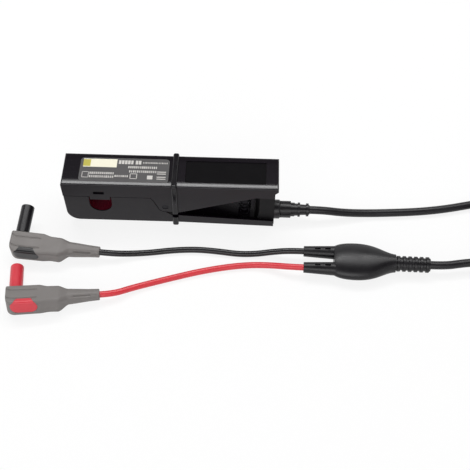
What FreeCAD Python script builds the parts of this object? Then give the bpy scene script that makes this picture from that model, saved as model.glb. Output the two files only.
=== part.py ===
"""Mini AC current clamp: a spring-closed split-core probe with a squeeze lever, an output cable,
a cable splitter and two right-angle 4 mm safety plugs. Millimetres, +X along the body from the
jaw nose to the cable end, -Y towards the front face, +Z up. The origin is on the bench, under the
middle of the clamp body."""

import FreeCAD, Part

import math
import os

V = FreeCAD.Vector
os.makedirs("parts", exist_ok=True)

# ---------------------------------------------------------------- driving dimensions: clamp body
body_length = 130.0
body_width = 25.0
body_height = 33.7
jaw_floor = 1.8  # underside of the jaw above the bench, which the guard fills
side_wall = 1.8
top_wall = 2.0
end_wall = 2.2
nose_lean = 0.8
nose_round = 8.0
parting_z = 24.6  # plane where the two jaws meet
parting_gap = 0.3
slip = 0.2  # clearance round a piece that drops into a shell

# conductor hole
hole_setback = 22.6  # from the nose to the hole's middle
hole_half_width = 6.8
hole_floor = 11.1
tongue_drop = 2.8  # how far the fixed jaw's tongue reaches into the hole
tongue_half_width = 6.1
liner_wall = 1.0
liner_recess = 0.7
notch_wall = 1.5

# finger guard
guard_setback = 67.6  # from the nose to the guard's middle
guard_width = 3.6
guard_rise = 1.5
guard_seat = 0.8  # depth of the groove that the guard sits in

# pivot and squeeze lever
pivot_before_guard = 5.9
pivot_z = 16.6
lobe_radius = 4.4
lobe_gap = 0.4
pin_radius = 1.5
pin_head_radius = 1.9
pin_head_depth = 0.7
run_clearance = 0.05
bush_wall = 0.85
ear_inner = 6.2
ear_outer = 9.0
boss_reach = 9.2
wedge_start_z = 11.4
wedge_end_z = 27.3
wedge_run = 47.2  # from the guard to the top of the sloping edge
lever_wall = 1.2
lever_floor = 2.0
lever_edge_start = 8.8
lever_edge_end = 5.3
lever_end_gap = 2.3

# tail
cap_overhang = 2.0
cap_lip = 2.3
block_length = 9.1
block_wall = 2.0
block_floor = 0.5
block_floor_wall = 1.2
block_gap = 0.5  # round the lever's floor as it swings past the block
block_lip = 3.0  # reach of the block's lip under the end of the lever's floor
block_lip_low = 0.15
block_lip_high = 0.75
lip_clearance = 0.3
cable_y = -5.1
cable_z = 8.4
cable_diameter = 5.0
relief_flange_radius = 5.9
relief_flange = 3.6
relief_neck_radius = 3.6
relief_lip = 0.4

# label, thumb recess and latch window
label_start = 10.1
label_length = 54.0
label_width = 18.9
label_depth = 0.5
label_thickness = 0.4
label_corner = 2.5
grip_length = 48.5
grip_width = 17.0
grip_from_guard = 4.5
grip_depth = 1.0
grip_thickness = 0.6
window_length = 6.5
window_height = 2.4
window_z = 28.2

# magnetic circuit
core_half_depth = 6.5
core_leg = 9.0
core_yoke = 2.6
core_gap = 0.3
fixed_yoke_z = 28.8
bobbin_wall = 0.7
bobbin_clearance = 0.15
bobbin_flange = 0.8
winding_build = 0.95
plate_thickness = 1.8
cover_thickness = 1.2
pad_thickness = 0.6

# electronics
board_setback = 12.6  # from the guard to the board
board_length = 24.0
board_half_width = 9.5
board_thickness = 1.6
board_z = 29.4
screen_thickness = 1.6
screen_lift = 0.6
screw_radius = 1.2
screw_head_radius = 2.2
screw_head_height = 1.5
post_radius = 2.8
wire_radius = 0.6
coil_wire_y = 8.0
spring_from_guard = 42.3
spring_radius = 3.4
spring_wire = 0.8
spring_turns = 7
spring_boss_radius = 2.3
spring_boss_height = 3.0
screen_post_y = 7.2

# ---------------------------------------------------------------- driving dimensions: leads
lead_diameter = 3.8
splitter_tilt = -1.2
splitter_end = (81.0, -41.4, 6.6)  # middle between the two outlets
outlet_spacing = 11.8
outlet_length = 19.6
outlet_radius_end = 3.15
outlet_radius_root = 4.2
splitter_length = 35.0
splitter_half_width = 12.6
splitter_half_height = 6.5
boot_length = 20.5
boot_radius = 4.7
boot_groove = 0.9
boot_ribs = 6
plug_length = 53.5
plug_half_thickness = 5.5
plug_back = 8.0
plug_front = 6.2
plug_head = 19.0  # length of the head at its full size
plug_waist = 24.0
plug_bulge = 30.0
plug_neck = 35.4
plug_neck_radius = 4.4
plug_tail_end = 3.2
plug_corner = 5.0  # round of the head's back corner
plug_edge = 1.8  # chamfer along the head
groove_offset = 3.1  # of the two finger grooves from the head's middle line
shroud_radius = 3.95
shroud_bore = 2.9
shroud_length = 22.5
shroud_from_end = 5.2
shroud_seat = 3.5  # depth of the shroud's shank in the head
shroud_shank = 3.4
shroud_relief = 0.25  # undercut between the shank and the sleeve
shroud_relief_length = 0.5
shank_radius = 1.3
shank_reach = 5.0  # of the contact's shank beyond the shroud's
insert_middle = 10.4
insert_half_length = 7.8
insert_half_width = 4.2
insert_depth = 1.2
contact_radius = 2.0
window_inset = 0.4
seat_gap = 0.02  # round a piece pressed into another

# ---------------------------------------------------------------- places worked out from those
half_width = body_width / 2
inner_y = half_width - side_wall
nose_x = -body_length / 2
tail_x = body_length / 2
top_z = jaw_floor + body_height
roof_z = top_z - top_wall
wall_end_x = tail_x - cap_overhang
fixed_face_z = parting_z + parting_gap / 2
moving_face_z = parting_z - parting_gap / 2
hole_x = nose_x + hole_setback
notch_left = hole_x - hole_half_width
notch_right = hole_x + hole_half_width
hole_centre_z = hole_floor + hole_half_width
tongue_z = fixed_face_z - tongue_drop
guard_x = nose_x + guard_setback
guard_left = guard_x - guard_width / 2
guard_right = guard_x + guard_width / 2
pivot_x = guard_left - pivot_before_guard + guard_width / 2
lobe_floor_z = pivot_z - lobe_radius
heel_x = pivot_x - 8.5
heel_z = pivot_z + 5.7
knee_x = guard_right + wedge_run
lever_end_x = tail_x - lever_end_gap
block_x = wall_end_x - block_length
swing_radius = block_x - block_gap - pivot_x  # of the lever floor's end about the pivot
floor_end_x = pivot_x + math.sqrt(swing_radius**2 - pivot_z**2)
bush_radius = pin_radius + run_clearance + bush_wall
bore_radius = pin_radius + run_clearance
cover_left = notch_left - liner_wall - notch_wall
cover_right = notch_right + liner_wall + notch_wall
leg_left = (cover_left - core_gap - core_leg, cover_left - core_gap)
leg_right = (cover_right + core_gap, cover_right + core_gap + core_leg)
jaw_cavity_end = leg_right[1] + 1.8
neck_cavity = (jaw_cavity_end + side_wall, guard_right + 1.6)
yoke_top_z = hole_floor - liner_wall - notch_wall - core_gap
jaw_inner_floor = jaw_floor + side_wall
fixed_core_top = fixed_yoke_z + core_yoke
spring_x = guard_right + spring_from_guard - guard_width / 2
grip_x0 = guard_right + grip_from_guard
coil_wire_z = board_z + board_thickness + wire_radius
cable_centre = V(0, cable_y, cable_z)
cable_radius = cable_diameter / 2
lead_radius = lead_diameter / 2


def save(node, *solids):
    """Writes one node, as a single solid or as a group of separate ones."""
    shape = solids[0] if len(solids) == 1 else Part.makeCompound(list(solids))
    shape.exportStep("parts/%s.step" % node)


def box(x0, x1, y0, y1, z0, z1):
    return Part.makeBox(x1 - x0, y1 - y0, z1 - z0, V(x0, y0, z0))


def rod_x(x0, x1, y, z, radius):
    return Part.makeCylinder(radius, x1 - x0, V(x0, y, z), V(1, 0, 0))


def rod_y(y0, y1, x, z, radius):
    return Part.makeCylinder(radius, y1 - y0, V(x, y0, z), V(0, 1, 0))


def rod_z(z0, z1, x, y, radius):
    return Part.makeCylinder(radius, z1 - z0, V(x, y, z0), V(0, 0, 1))


def side_outline(start, steps, y):
    """A closed wire in the plane Y = y. Each step is an end point (x, z), or a middle and an end
    point for an arc."""
    edges = []
    here = V(start[0], y, start[1])
    first = here
    for step in steps:
        end = V(step[-2], y, step[-1])
        if len(step) == 4:
            edges.append(Part.Arc(here, V(step[0], y, step[1]), end).toShape())
        else:
            edges.append(Part.LineSegment(here, end).toShape())
        here = end
    edges.append(Part.LineSegment(here, first).toShape())
    return Part.Wire(edges)


def side_prism(start, steps, y0, y1):
    """The side outline pulled along Y from y0 to y1."""
    return Part.Face(side_outline(start, steps, y0)).extrude(V(0, y1 - y0, 0))


def at_pivot(radius, degrees):
    """A point (x, z) on a circle about the pivot."""
    turn = math.radians(degrees)
    return (pivot_x + radius * math.cos(turn), pivot_z + radius * math.sin(turn))


def nose_at(z):
    """X of the leaning nose at height z."""
    return nose_x + nose_lean * (top_z - z) / (body_height - nose_round)


def wedge_z(x):
    """Height of the housing's sloping lower edge behind the guard."""
    return wedge_start_z + (x - guard_right) * (wedge_end_z - wedge_start_z) / wedge_run


def lever_edge_z(x):
    """Height of the lever's upper edge behind the guard."""
    run = lever_end_x - guard_right
    return lever_edge_start + (x - guard_right) * (lever_edge_end - lever_edge_start) / run


def lever_under_z(x):
    """Height of the lever's underside, which slopes from the jaw floor down to the bench."""
    return jaw_floor * (lever_end_x - x) / (lever_end_x - guard_right)


def edges_where(shape, test):
    return [e for e in shape.Edges if test(e.BoundBox)]


def rounded_plate(x0, x1, half, z0, z1, corner):
    """A flat plate with rounded corners in plan."""
    plate = box(x0, x1, -half, half, z0, z1)
    upright = edges_where(plate, lambda b: b.ZLength > (z1 - z0) * 0.9)
    return plate.makeFillet(corner, upright)


# ---------------------------------------------------------------- fixed jaw and handle shell
def housing_outline_steps():
    lobe_left = at_pivot(lobe_radius, 190)
    lobe_mid = at_pivot(lobe_radius, 230)
    return [
        (nose_at(fixed_face_z), fixed_face_z),
        (hole_x - tongue_half_width, fixed_face_z),
        (hole_x - tongue_half_width, tongue_z),
        (hole_x + tongue_half_width, tongue_z),
        (hole_x + tongue_half_width, fixed_face_z),
        (heel_x, fixed_face_z),
        (heel_x + 1.7, heel_z),
        lobe_left,
        (lobe_mid[0], lobe_mid[1], pivot_x, lobe_floor_z),
        (guard_right, wedge_start_z),
        (knee_x, wedge_end_z),
        (wall_end_x, wedge_end_z - 0.5),
        (wall_end_x, roof_z - cap_lip),
        (tail_x, roof_z - cap_lip + cap_overhang),
        (tail_x, top_z),
    ]


def screen_post_places():
    """The two posts that carry the electronics screen, each side of the circuit board."""
    return ((guard_right + board_setback - 4.2, 0), (spring_x, screen_post_y))


def board_post_places():
    board_x = guard_right + board_setback
    return [
        (x, y)
        for x in (board_x + 4.4, board_x + board_length - 4.4)
        for y in (-board_half_width + 2.4, board_half_width - 2.4)
    ]


def screen_seat_z(x):
    """Height at which a screen screw's head seats, inside its boss."""
    return wedge_z(x) + screen_lift + 2.4


block_screw_x = block_x + block_length / 2
block_screw_y = 5.6
block_seat_z = roof_z - 8.0


def guard_ring(grow):
    """The guard's rounded outer form, `grow` above the faces of the body."""
    y = half_width + grow
    ring = box(guard_left, guard_right, -y, y, jaw_floor - grow, top_z + grow)
    along = edges_where(ring, lambda b: b.XLength > guard_width * 0.9)
    return ring.makeFillet(1.6, along)


def guard_seat_cut():
    """What is cut from a shell so that the guard sits in it."""
    y = half_width - guard_seat
    outer = box(guard_left, guard_right, -body_width, body_width, -5, top_z + 10)
    inner = box(guard_left, guard_right, -y, y, jaw_floor + guard_seat, top_z - guard_seat)
    return outer.cut(inner)


def upper_housing():
    shell = side_prism((nose_x, top_z), housing_outline_steps(), -half_width, half_width)
    soft = edges_where(
        shell,
        lambda b: b.ZMin > top_z - 0.01 or (b.XMax < nose_x + 0.3 and b.ZLength > 5),
    )
    shell = shell.makeFillet(0.9, soft)
    cavity = box(nose_x + end_wall, wall_end_x, -inner_y, inner_y, -5, roof_z)
    shell = shell.cut(cavity)
    for side in (-1, 1):
        wall_in = side * (inner_y + 0.01)
        boss = rod_y(*sorted((side * boss_reach, wall_in)), pivot_x, pivot_z, lobe_radius)
        shell = shell.fuse(boss)
    for x, y in screen_post_places():
        foot = screen_seat_z(x) + screen_thickness
        shell = shell.fuse(rod_z(foot, roof_z + 0.01, x, y, post_radius))
    for x, y in board_post_places():
        shell = shell.fuse(rod_z(board_z + board_thickness, roof_z + 0.01, x, y, 1.9))
    shell = shell.fuse(
        rod_z(block_seat_z + 2.0, roof_z + 0.01, block_screw_x, block_screw_y, post_radius)
    )
    cuts = [
        rod_y(-body_width, body_width, pivot_x, pivot_z, bore_radius),
        rod_y(-body_width, -half_width + pin_head_depth, pivot_x, pivot_z, pin_head_radius + 0.1),
        rounded_plate(
            nose_x + label_start, nose_x + label_start + label_length, label_width / 2,
            top_z - label_depth, top_z + 1, label_corner,
        ),
        rounded_plate(
            grip_x0, grip_x0 + grip_length, grip_width / 2, top_z - grip_depth, top_z + 1, 0.4
        ),
        box(
            hole_x - 0.4 - window_length / 2, hole_x - 0.4 + window_length / 2,
            -body_width, body_width, window_z - window_height / 2, window_z + window_height / 2,
        ),
        guard_seat_cut(),
    ]
    for x, y in screen_post_places():
        cuts.append(rod_z(screen_seat_z(x), roof_z - 0.6, x, y, screw_radius + run_clearance))
    for x, y in board_post_places():
        cuts.append(rod_z(board_z, roof_z - 0.4, x, y, 0.9 + run_clearance))
    cuts.append(
        rod_z(block_seat_z, roof_z - 0.4, block_screw_x, block_screw_y, screw_radius + run_clearance)
    )
    for cut in cuts:
        shell = shell.cut(cut)
    return shell.removeSplitter()


def upper_guard():
    """The fixed part of the finger guard: over the roof and down both sides."""
    ring = guard_ring(guard_rise)
    y = half_width - guard_seat
    ring = ring.cut(box(guard_left, guard_right, -y, y, -5, top_z - guard_seat))
    bottom = wedge_start_z
    ring = ring.cut(box(guard_left - 1, guard_right + 1, -50, 50, -5, bottom))
    outer = edges_where(
        ring,
        lambda b: b.XLength < 0.01
        and (abs(b.YMin) > half_width + 0.5 or b.ZMin > top_z + 0.5)
        and (b.YLength > 3 or b.ZLength > 3),
    )
    return ring.makeFillet(1.2, outer)


def lower_guard():
    """The moving part of the finger guard: under the jaw and a short way up both sides. It
    reaches the bench, so the clamp stands on it."""
    y = half_width + guard_rise
    ring = box(guard_left, guard_right, -y, y, 0, lever_edge_start - 0.5)
    ring = ring.makeFillet(
        1.6, edges_where(ring, lambda b: b.XLength > guard_width * 0.9 and b.ZMax < 1)
    )
    inner = half_width - guard_seat
    ring = ring.cut(
        box(guard_left, guard_right, -inner, inner, jaw_floor + guard_seat, lever_edge_start + 1)
    )
    outer = edges_where(
        ring,
        lambda b: b.XLength < 0.01
        and (b.ZMax < 0.01 or (abs(b.YMin) > half_width + 0.5 and abs(b.YMax) > half_width + 0.5))
        and (b.YLength > 3 or b.ZLength > 3),
    )
    return ring.makeFillet(1.0, outer)


def upper_jaw_plate():
    """Closes the fixed jaw at the parting plane, with windows for the core's legs, a tongue that
    roofs the hole, and a latch tab in each side window."""
    y = inner_y - slip
    left = nose_x + end_wall + slip
    plate = box(left, heel_x - 0.5, -y, y, fixed_face_z, fixed_face_z + plate_thickness)
    plate = plate.fuse(
        box(
            hole_x - tongue_half_width, hole_x + tongue_half_width, -y, y,
            tongue_z, fixed_face_z + plate_thickness,
        )
    )
    tab_x = hole_x - 0.4
    for side in (-1, 1):
        arm = box(
            tab_x - window_length / 2 + slip, tab_x + window_length / 2 - slip,
            *sorted((side * (y - 1.0), side * y)), fixed_face_z, window_z + window_height / 2 - slip,
        )
        hook = box(
            tab_x - window_length / 2 + slip, tab_x + window_length / 2 - slip,
            *sorted((side * y, side * (inner_y + 0.7))),
            window_z - window_height / 2 + slip, window_z + window_height / 2 - slip,
        )
        plate = plate.fuse(arm).fuse(hook)
    for x0, x1 in (leg_left, leg_right):
        y_leg = core_half_depth + slip
        plate = plate.cut(
            box(x0 - slip, x1 + slip, -y_leg, y_leg, fixed_face_z - 1, fixed_face_z + 3)
        )
    return plate.removeSplitter()


def label_plate():
    return rounded_plate(
        nose_x + label_start + 0.15, nose_x + label_start + label_length - 0.15,
        label_width / 2 - 0.15, top_z - label_depth, top_z - label_depth + label_thickness,
        label_corner - 0.15,
    )


def grip_pad():
    return rounded_plate(
        grip_x0 + 0.1, grip_x0 + grip_length - 0.1, grip_width / 2 - 0.1,
        top_z - grip_depth, top_z - grip_depth + grip_thickness, 0.3,
    )


# ---------------------------------------------------------------- magnetic circuit
def fixed_core():
    """The fixed core half: two legs down to the parting plane and the yoke that is wound."""
    outer = box(
        leg_left[0], leg_right[1], -core_half_depth, core_half_depth, fixed_face_z, fixed_core_top
    )
    gap = box(leg_left[1], leg_right[0], -50, 50, fixed_face_z - 1, fixed_yoke_z)
    return outer.cut(gap)


def bobbin_sleeve(grow):
    """The space within `grow` of the yoke, between the two legs."""
    y = core_half_depth + grow
    return box(
        leg_left[1] + core_gap, leg_right[0] - core_gap, -y, y,
        fixed_yoke_z - grow, fixed_core_top + grow,
    )


def coil_bobbin():
    spool = bobbin_sleeve(bobbin_clearance + bobbin_wall)
    big = bobbin_sleeve(bobbin_clearance + bobbin_wall + winding_build + 0.2)
    x0, x1 = leg_left[1] + core_gap, leg_right[0] - core_gap
    for start in (x0, x1 - bobbin_flange):
        spool = spool.fuse(big.common(box(start, start + bobbin_flange, -50, 50, 0, 60)))
    hole = bobbin_sleeve(bobbin_clearance)
    hole = hole.fuse(hole.translated(V(1, 0, 0))).fuse(hole.translated(V(-1, 0, 0)))
    return spool.cut(hole).removeSplitter()


def coil_winding():
    outer = bobbin_sleeve(bobbin_clearance + bobbin_wall + winding_build)
    x0 = leg_left[1] + core_gap + bobbin_flange
    x1 = leg_right[0] - core_gap - bobbin_flange
    outer = outer.common(box(x0, x1, -50, 50, 0, 60))
    outer = outer.makeFillet(0.9, edges_where(outer, lambda b: b.XLength > (x1 - x0) * 0.9))
    return outer.cut(bobbin_sleeve(bobbin_clearance + bobbin_wall))


def core_pads():
    """Foam pads that hold the fixed core down on its seat."""
    return [
        box(x0 + 1, x1 - 1, -core_half_depth + 1, core_half_depth - 1, fixed_core_top, roof_z)
        for x0, x1 in (leg_left, leg_right)
    ]


def moving_core():
    """The moving core half: a U that passes under the hole."""
    low = yoke_top_z - 4.0
    outer = box(
        leg_left[0], leg_right[1], -core_half_depth, core_half_depth, low, moving_face_z
    )
    corners = edges_where(outer, lambda b: b.YLength > core_half_depth and b.ZMax < low + 0.01)
    outer = outer.makeFillet(4.5, corners)
    gap = box(leg_left[1], leg_right[0], -50, 50, yoke_top_z, moving_face_z + 1)
    return outer.cut(gap)


# ---------------------------------------------------------------- moving jaw and squeeze lever
def notch_prism(grow, y):
    """The U of the conductor hole, `grow` larger all round, open at the parting plane."""
    r = hole_half_width + grow
    return side_prism(
        (hole_x - r, moving_face_z + 20),
        [
            (hole_x - r, hole_centre_z),
            (hole_x, hole_centre_z - r, hole_x + r, hole_centre_z),
            (hole_x + r, moving_face_z + 20),
        ],
        -y, y,
    )


def nose_corner(inset):
    """Arc points of the jaw's rounded lower nose, moved inwards by `inset`."""
    r = nose_round - inset
    x = nose_at(jaw_floor + nose_round) + nose_round
    z = jaw_floor + nose_round
    mid = (x - r * math.sqrt(0.5), z - r * math.sqrt(0.5))
    return (x - r, z), mid, (x, z - r)


def jaw_lever():
    lobe = lobe_radius + lobe_gap
    lobe_left, lobe_mid = at_pivot(lobe, 190), at_pivot(lobe, 230)
    high, mid, low = nose_corner(0)
    outline = [
        (heel_x - 0.3, moving_face_z),
        (heel_x + 1.35, heel_z - 0.15),
        lobe_left,
        (lobe_mid[0], lobe_mid[1], pivot_x, pivot_z - lobe),
        (guard_left - 0.2, lever_edge_start - 0.3),
        (guard_right, lever_edge_start),
        (lever_end_x, lever_edge_end),
        (lever_end_x, 0),
        (guard_right, jaw_floor),
        low,
        (mid[0], mid[1], high[0], high[1]),
    ]
    lever = side_prism((nose_at(moving_face_z), moving_face_z), outline, -half_width, half_width)
    lever = lever.makeFillet(
        0.8,
        edges_where(
            lever,
            lambda b: abs(b.YMin) > half_width - 0.01
            and b.YLength < 0.01
            and (b.ZMax < jaw_floor + 0.01 or b.XMax < nose_x + nose_round + 1)
            and b.XMin < guard_x,
        ),
    )
    high, mid, low = nose_corner(end_wall)
    cavity = side_prism(
        (high[0], moving_face_z + 5),
        [
            (high[0], high[1]),
            (mid[0], mid[1], low[0], low[1]),
            (jaw_cavity_end, low[1]),
            (jaw_cavity_end, moving_face_z + 5),
        ],
        -inner_y, inner_y,
    )
    cavity = cavity.cut(notch_prism(liner_wall + notch_wall, 50))
    lever = lever.cut(cavity)
    neck_left, neck_right = neck_cavity
    lever = lever.cut(box(neck_left, neck_right, -inner_y, inner_y, jaw_inner_floor, 60))
    channel_y = half_width - lever_wall
    channel = side_prism(
        (neck_right + side_wall, lever_under_z(neck_right + side_wall) + lever_floor),
        [
            (lever_end_x + 1, lever_floor),
            (lever_end_x + 1, 60),
            (neck_right + side_wall, 60),
        ],
        -channel_y, channel_y,
    )
    lever = lever.cut(channel)
    lever = lever.cut(box(floor_end_x, lever_end_x + 1, -channel_y, channel_y, -5, 60))
    lever = lever.cut(
        box(
            floor_end_x - block_lip - lip_clearance, lever_end_x, -channel_y, channel_y,
            -5, block_lip_high + lip_clearance,
        )
    )
    ear_top = bush_radius + 1.8
    for side in (-1, 1):
        y0, y1 = sorted((side * ear_inner, side * ear_outer))
        ear = side_prism(
            (pivot_x - ear_top - 2.5, jaw_inner_floor - 0.5),
            [
                (pivot_x - ear_top, pivot_z),
                (pivot_x, pivot_z + ear_top, pivot_x + ear_top, pivot_z),
                (pivot_x + ear_top + 1.0, jaw_inner_floor - 0.5),
            ],
            y0, y1,
        )
        lever = lever.fuse(ear)
    seat_z = lever_under_z(spring_x) + lever_floor
    lever = lever.fuse(rod_z(seat_z - 0.5, seat_z + spring_boss_height, spring_x, 0, spring_boss_radius))
    for x in (guard_right + 14, guard_right + 28):
        rib_z = lever_edge_z(x) - 1.0
        for side in (-1, 1):
            y0, y1 = sorted((side * (channel_y + 0.3), side * (channel_y - 3.0)))
            lever = lever.fuse(box(x, x + 1.2, y0, y1, lever_under_z(x) + 1.0, rib_z))
    lever = lever.cut(notch_prism(0, 50))
    lever = lever.cut(notch_prism(liner_wall, half_width - liner_recess))
    lever = lever.cut(rod_y(-ear_outer - 1, ear_outer + 1, pivot_x, pivot_z, bush_radius))
    return lever.cut(guard_seat_cut()).removeSplitter()


def jaw_liner():
    """The coloured insulating channel that lines the conductor hole."""
    y = half_width - liner_recess
    liner = notch_prism(liner_wall, y).cut(notch_prism(0, 50))
    return liner.common(box(nose_x, tail_x, -50, 50, 0, moving_face_z))


def jaw_cover(x0, x1, leg):
    """One of the plates that close the moving jaw round the core's legs."""
    y = inner_y - slip
    plate = box(x0, x1, -y, y, moving_face_z - cover_thickness, moving_face_z)
    y_leg = core_half_depth + slip
    return plate.cut(box(leg[0] - slip, leg[1] + slip, -y_leg, y_leg, 0, 60))


def core_pad_lower():
    return box(
        leg_left[0] + 5, leg_right[1] - 5, -core_half_depth + 1, core_half_depth - 1,
        jaw_floor + end_wall, yoke_top_z - 4.0,
    )


def pivot_pin():
    pin = rod_y(-half_width + 0.2, half_width - 0.2, pivot_x, pivot_z, pin_radius)
    head = rod_y(
        -half_width + 0.2, -half_width + pin_head_depth, pivot_x, pivot_z, pin_head_radius
    )
    return pin.fuse(head).removeSplitter()


def pivot_bush():
    bush = rod_y(-ear_outer, ear_outer, pivot_x, pivot_z, bush_radius)
    return bush.cut(rod_y(-50, 50, pivot_x, pivot_z, bore_radius))


def return_spring():
    """A compression spring between the screen and the lever's floor, with flat end rings."""
    low = lever_under_z(spring_x) + lever_floor + spring_wire / 2
    high = wedge_z(spring_x) + screen_lift - spring_wire / 2
    pitch = (high - low) / spring_turns
    helix = Part.makeHelix(pitch, high - low, spring_radius)
    start = Part.Wire(
        Part.makeCircle(spring_wire / 2, V(spring_radius, 0, 0), V(0, 1, 0))
    )
    coil = Part.Wire(helix.Edges).makePipeShell([start], True, True)
    return coil.translated(V(spring_x, 0, low))


# ---------------------------------------------------------------- electronics
def electronics_screen():
    """The sloping inner cover over the electronics, with its upright wall behind the pivot."""
    y = inner_y - slip
    left = guard_right + 0.7
    lift = screen_lift
    right = block_x - slip
    screen = side_prism(
        (left, wedge_z(left) + lift),
        [
            (knee_x, wedge_z(knee_x) + lift),
            (right, wedge_z(knee_x) + lift),
            (right, wedge_z(knee_x) + lift + screen_thickness),
            (knee_x, wedge_z(knee_x) + lift + screen_thickness),
            (left + 1.5, wedge_z(left + 1.5) + lift + screen_thickness),
            (left + 1.5, roof_z - slip),
            (left, roof_z - slip),
        ],
        -y, y,
    )
    if right < knee_x:
        screen = screen.common(box(left, right, -50, 50, 0, roof_z))
    for x, y in screen_post_places():
        seat = screen_seat_z(x)
        collar = rod_z(seat - 1.6, seat + screen_thickness, x, y, screw_head_radius + 1.1)
        screen = screen.fuse(collar)
    for x, y in screen_post_places():
        seat = screen_seat_z(x)
        screen = screen.cut(rod_z(0, seat, x, y, screw_head_radius + slip))
        screen = screen.cut(rod_z(0, 60, x, y, screw_radius + run_clearance))
    seat_z = wedge_z(spring_x) + lift
    screen = screen.fuse(
        rod_z(seat_z - spring_boss_height, seat_z + 1.0, spring_x, 0, spring_boss_radius)
    )
    for side in (-1, 1):
        screen = screen.cut(
            rod_x(left - 1, left + 3, side * coil_wire_y, coil_wire_z, wire_radius + slip)
        )
    return screen.removeSplitter()


def screw(x, y, seat, length, shank, head, head_height):
    """A pan-head screw driven upwards: the head is below its seat."""
    body = rod_z(seat - head_height, seat, x, y, head)
    body = body.fuse(rod_z(seat - 0.01, seat + length, x, y, shank))
    slot = box(x - head, x + head, y - 0.25, y + 0.25, seat - head_height - 0.1, seat - head_height + 0.6)
    return body.cut(slot).removeSplitter()


def coil_wires():
    start = leg_right[0] - core_gap
    end = guard_right + board_setback + 2.2
    return [rod_x(start, end, side * coil_wire_y, coil_wire_z, wire_radius) for side in (-1, 1)]


def circuit_board():
    x0 = guard_right + board_setback
    board = box(
        x0, x0 + board_length, -board_half_width, board_half_width,
        board_z, board_z + board_thickness,
    )
    for x, y in board_post_places():
        board = board.cut(rod_z(0, 60, x, y, 0.9 + run_clearance))
    return board


def board_parts():
    """The components under the board: name to solid."""
    x0 = guard_right + board_setback
    bridge = box(x0 + 8, x0 + 13, -3.4, 1.8, board_z - 2.4, board_z)
    resistor = rod_y(-4.2, 3.6, x0 + 17.0, board_z - 1.15, 1.15)
    capacitor = rod_z(board_z - 5.2, board_z, x0 + 4.0, -1.2, 2.4)
    trimmer = box(x0 + 9.2, x0 + 13.6, 3.6, 8.0, board_z - 2.8, board_z)
    trimmer = trimmer.cut(rod_z(board_z - 2.9, board_z - 2.3, x0 + 11.4, 5.8, 1.4))
    return {
        "rectifier": bridge,
        "burden_resistor": resistor,
        "filter_capacitor": capacitor,
        "calibration_trimmer": trimmer,
    }


# ---------------------------------------------------------------- tail block and cable entry
def tail_block():
    """The end block that closes the handle and carries the cable's strain relief."""
    y = inner_y - slip
    clear = swing_radius + block_gap
    low = -math.degrees(math.asin((pivot_z - block_floor) / clear))
    block = side_prism(
        (block_x, roof_z - slip),
        [
            (wall_end_x, roof_z - slip),
            (wall_end_x, block_floor),
            at_pivot(clear, low),
            (*at_pivot(clear, low / 2), block_x, pivot_z),
        ],
        -y, y,
    )
    block = block.fuse(
        box(floor_end_x - block_lip, block_x + block_wall, -y, y, block_lip_low, block_lip_high)
    )
    duct = box(
        block_x + block_wall, wall_end_x - block_wall, -y + 1.2, 1.4,
        block_floor + block_floor_wall, roof_z,
    )
    window = box(block_x - 1, block_x + block_wall + 1, -y + 1.2, 1.4, board_z, roof_z)
    block = block.cut(duct).cut(window)
    block = block.cut(
        rod_z(0, block_seat_z, block_screw_x, block_screw_y, screw_head_radius + slip)
    )
    block = block.cut(
        rod_z(0, 60, block_screw_x, block_screw_y, screw_radius + run_clearance)
    )
    block = block.cut(
        rod_z(block_seat_z + 2.0, 60, block_screw_x, block_screw_y, post_radius + slip)
    )
    return block.cut(
        rod_x(
            wall_end_x - block_wall - 1, wall_end_x + 1, cable_y, cable_z,
            relief_neck_radius + run_clearance,
        )
    )


relief_tiers = (
    # length along the cable, radius at the start, radius at the end
    (0.6, 4.3, 4.3),
    (6.0, 5.05, 4.75),
    (4.4, 4.0, 3.75),
    (1.3, 4.45, 4.45),
    (3.8, 3.35, 3.2),
    (1.5, 4.05, 4.05),
    (0.6, 3.1, 3.0),
)
relief_end_x = wall_end_x + relief_flange + sum(t[0] for t in relief_tiers)


def strain_relief():
    """The moulded boot: an inner lip, a neck through the wall, a flange and shrinking tiers with
    lengthwise fins."""
    inner_x = wall_end_x - block_wall
    boot = rod_x(inner_x - 1.2, inner_x, cable_y, cable_z, relief_neck_radius + relief_lip)
    boot = boot.fuse(
        rod_x(inner_x, wall_end_x, cable_y, cable_z, relief_neck_radius)
    )
    flange = rod_x(wall_end_x, wall_end_x + relief_flange, cable_y, cable_z, relief_flange_radius)
    flange = flange.makeFillet(0.8, edges_where(flange, lambda b: b.XMin > wall_end_x + 1))
    boot = boot.fuse(flange)
    x = wall_end_x + relief_flange
    for length, start, end in relief_tiers:
        tier = Part.makeCone(start, end - 0.001, length, V(x, cable_y, cable_z), V(1, 0, 0))
        boot = boot.fuse(tier)
        x += length
    fin_x0 = wall_end_x + relief_flange
    for turn in range(6):
        fin = box(fin_x0 - 0.1, fin_x0 + 9.0, -0.7, 0.7, 0, 5.3)
        fin = fin.cut(box(fin_x0 + 6.6, fin_x0 + 10, -1, 1, 4.3, 6))
        fin.rotate(V(0, 0, 0), V(1, 0, 0), 60 * turn + 30)
        boot = boot.fuse(fin.translated(cable_centre))
    bore = rod_x(0, relief_end_x + 5, cable_y, cable_z, cable_radius + run_clearance)
    return boot.cut(bore).removeSplitter()


def cable_inlet():
    """The jacketed end of the cable inside the boot and the block."""
    return rod_x(block_x + block_wall + 1.4, relief_end_x, cable_y, cable_z, cable_radius)


def cable_clamp():
    x0 = block_x + block_wall + 1.6
    clamp = box(
        x0, x0 + 2.0, cable_y - 3.9, cable_y + 3.9,
        block_floor + block_floor_wall, cable_z + 3.8,
    )
    return clamp.cut(rod_x(0, tail_x, cable_y, cable_z, cable_radius + run_clearance))


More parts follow.
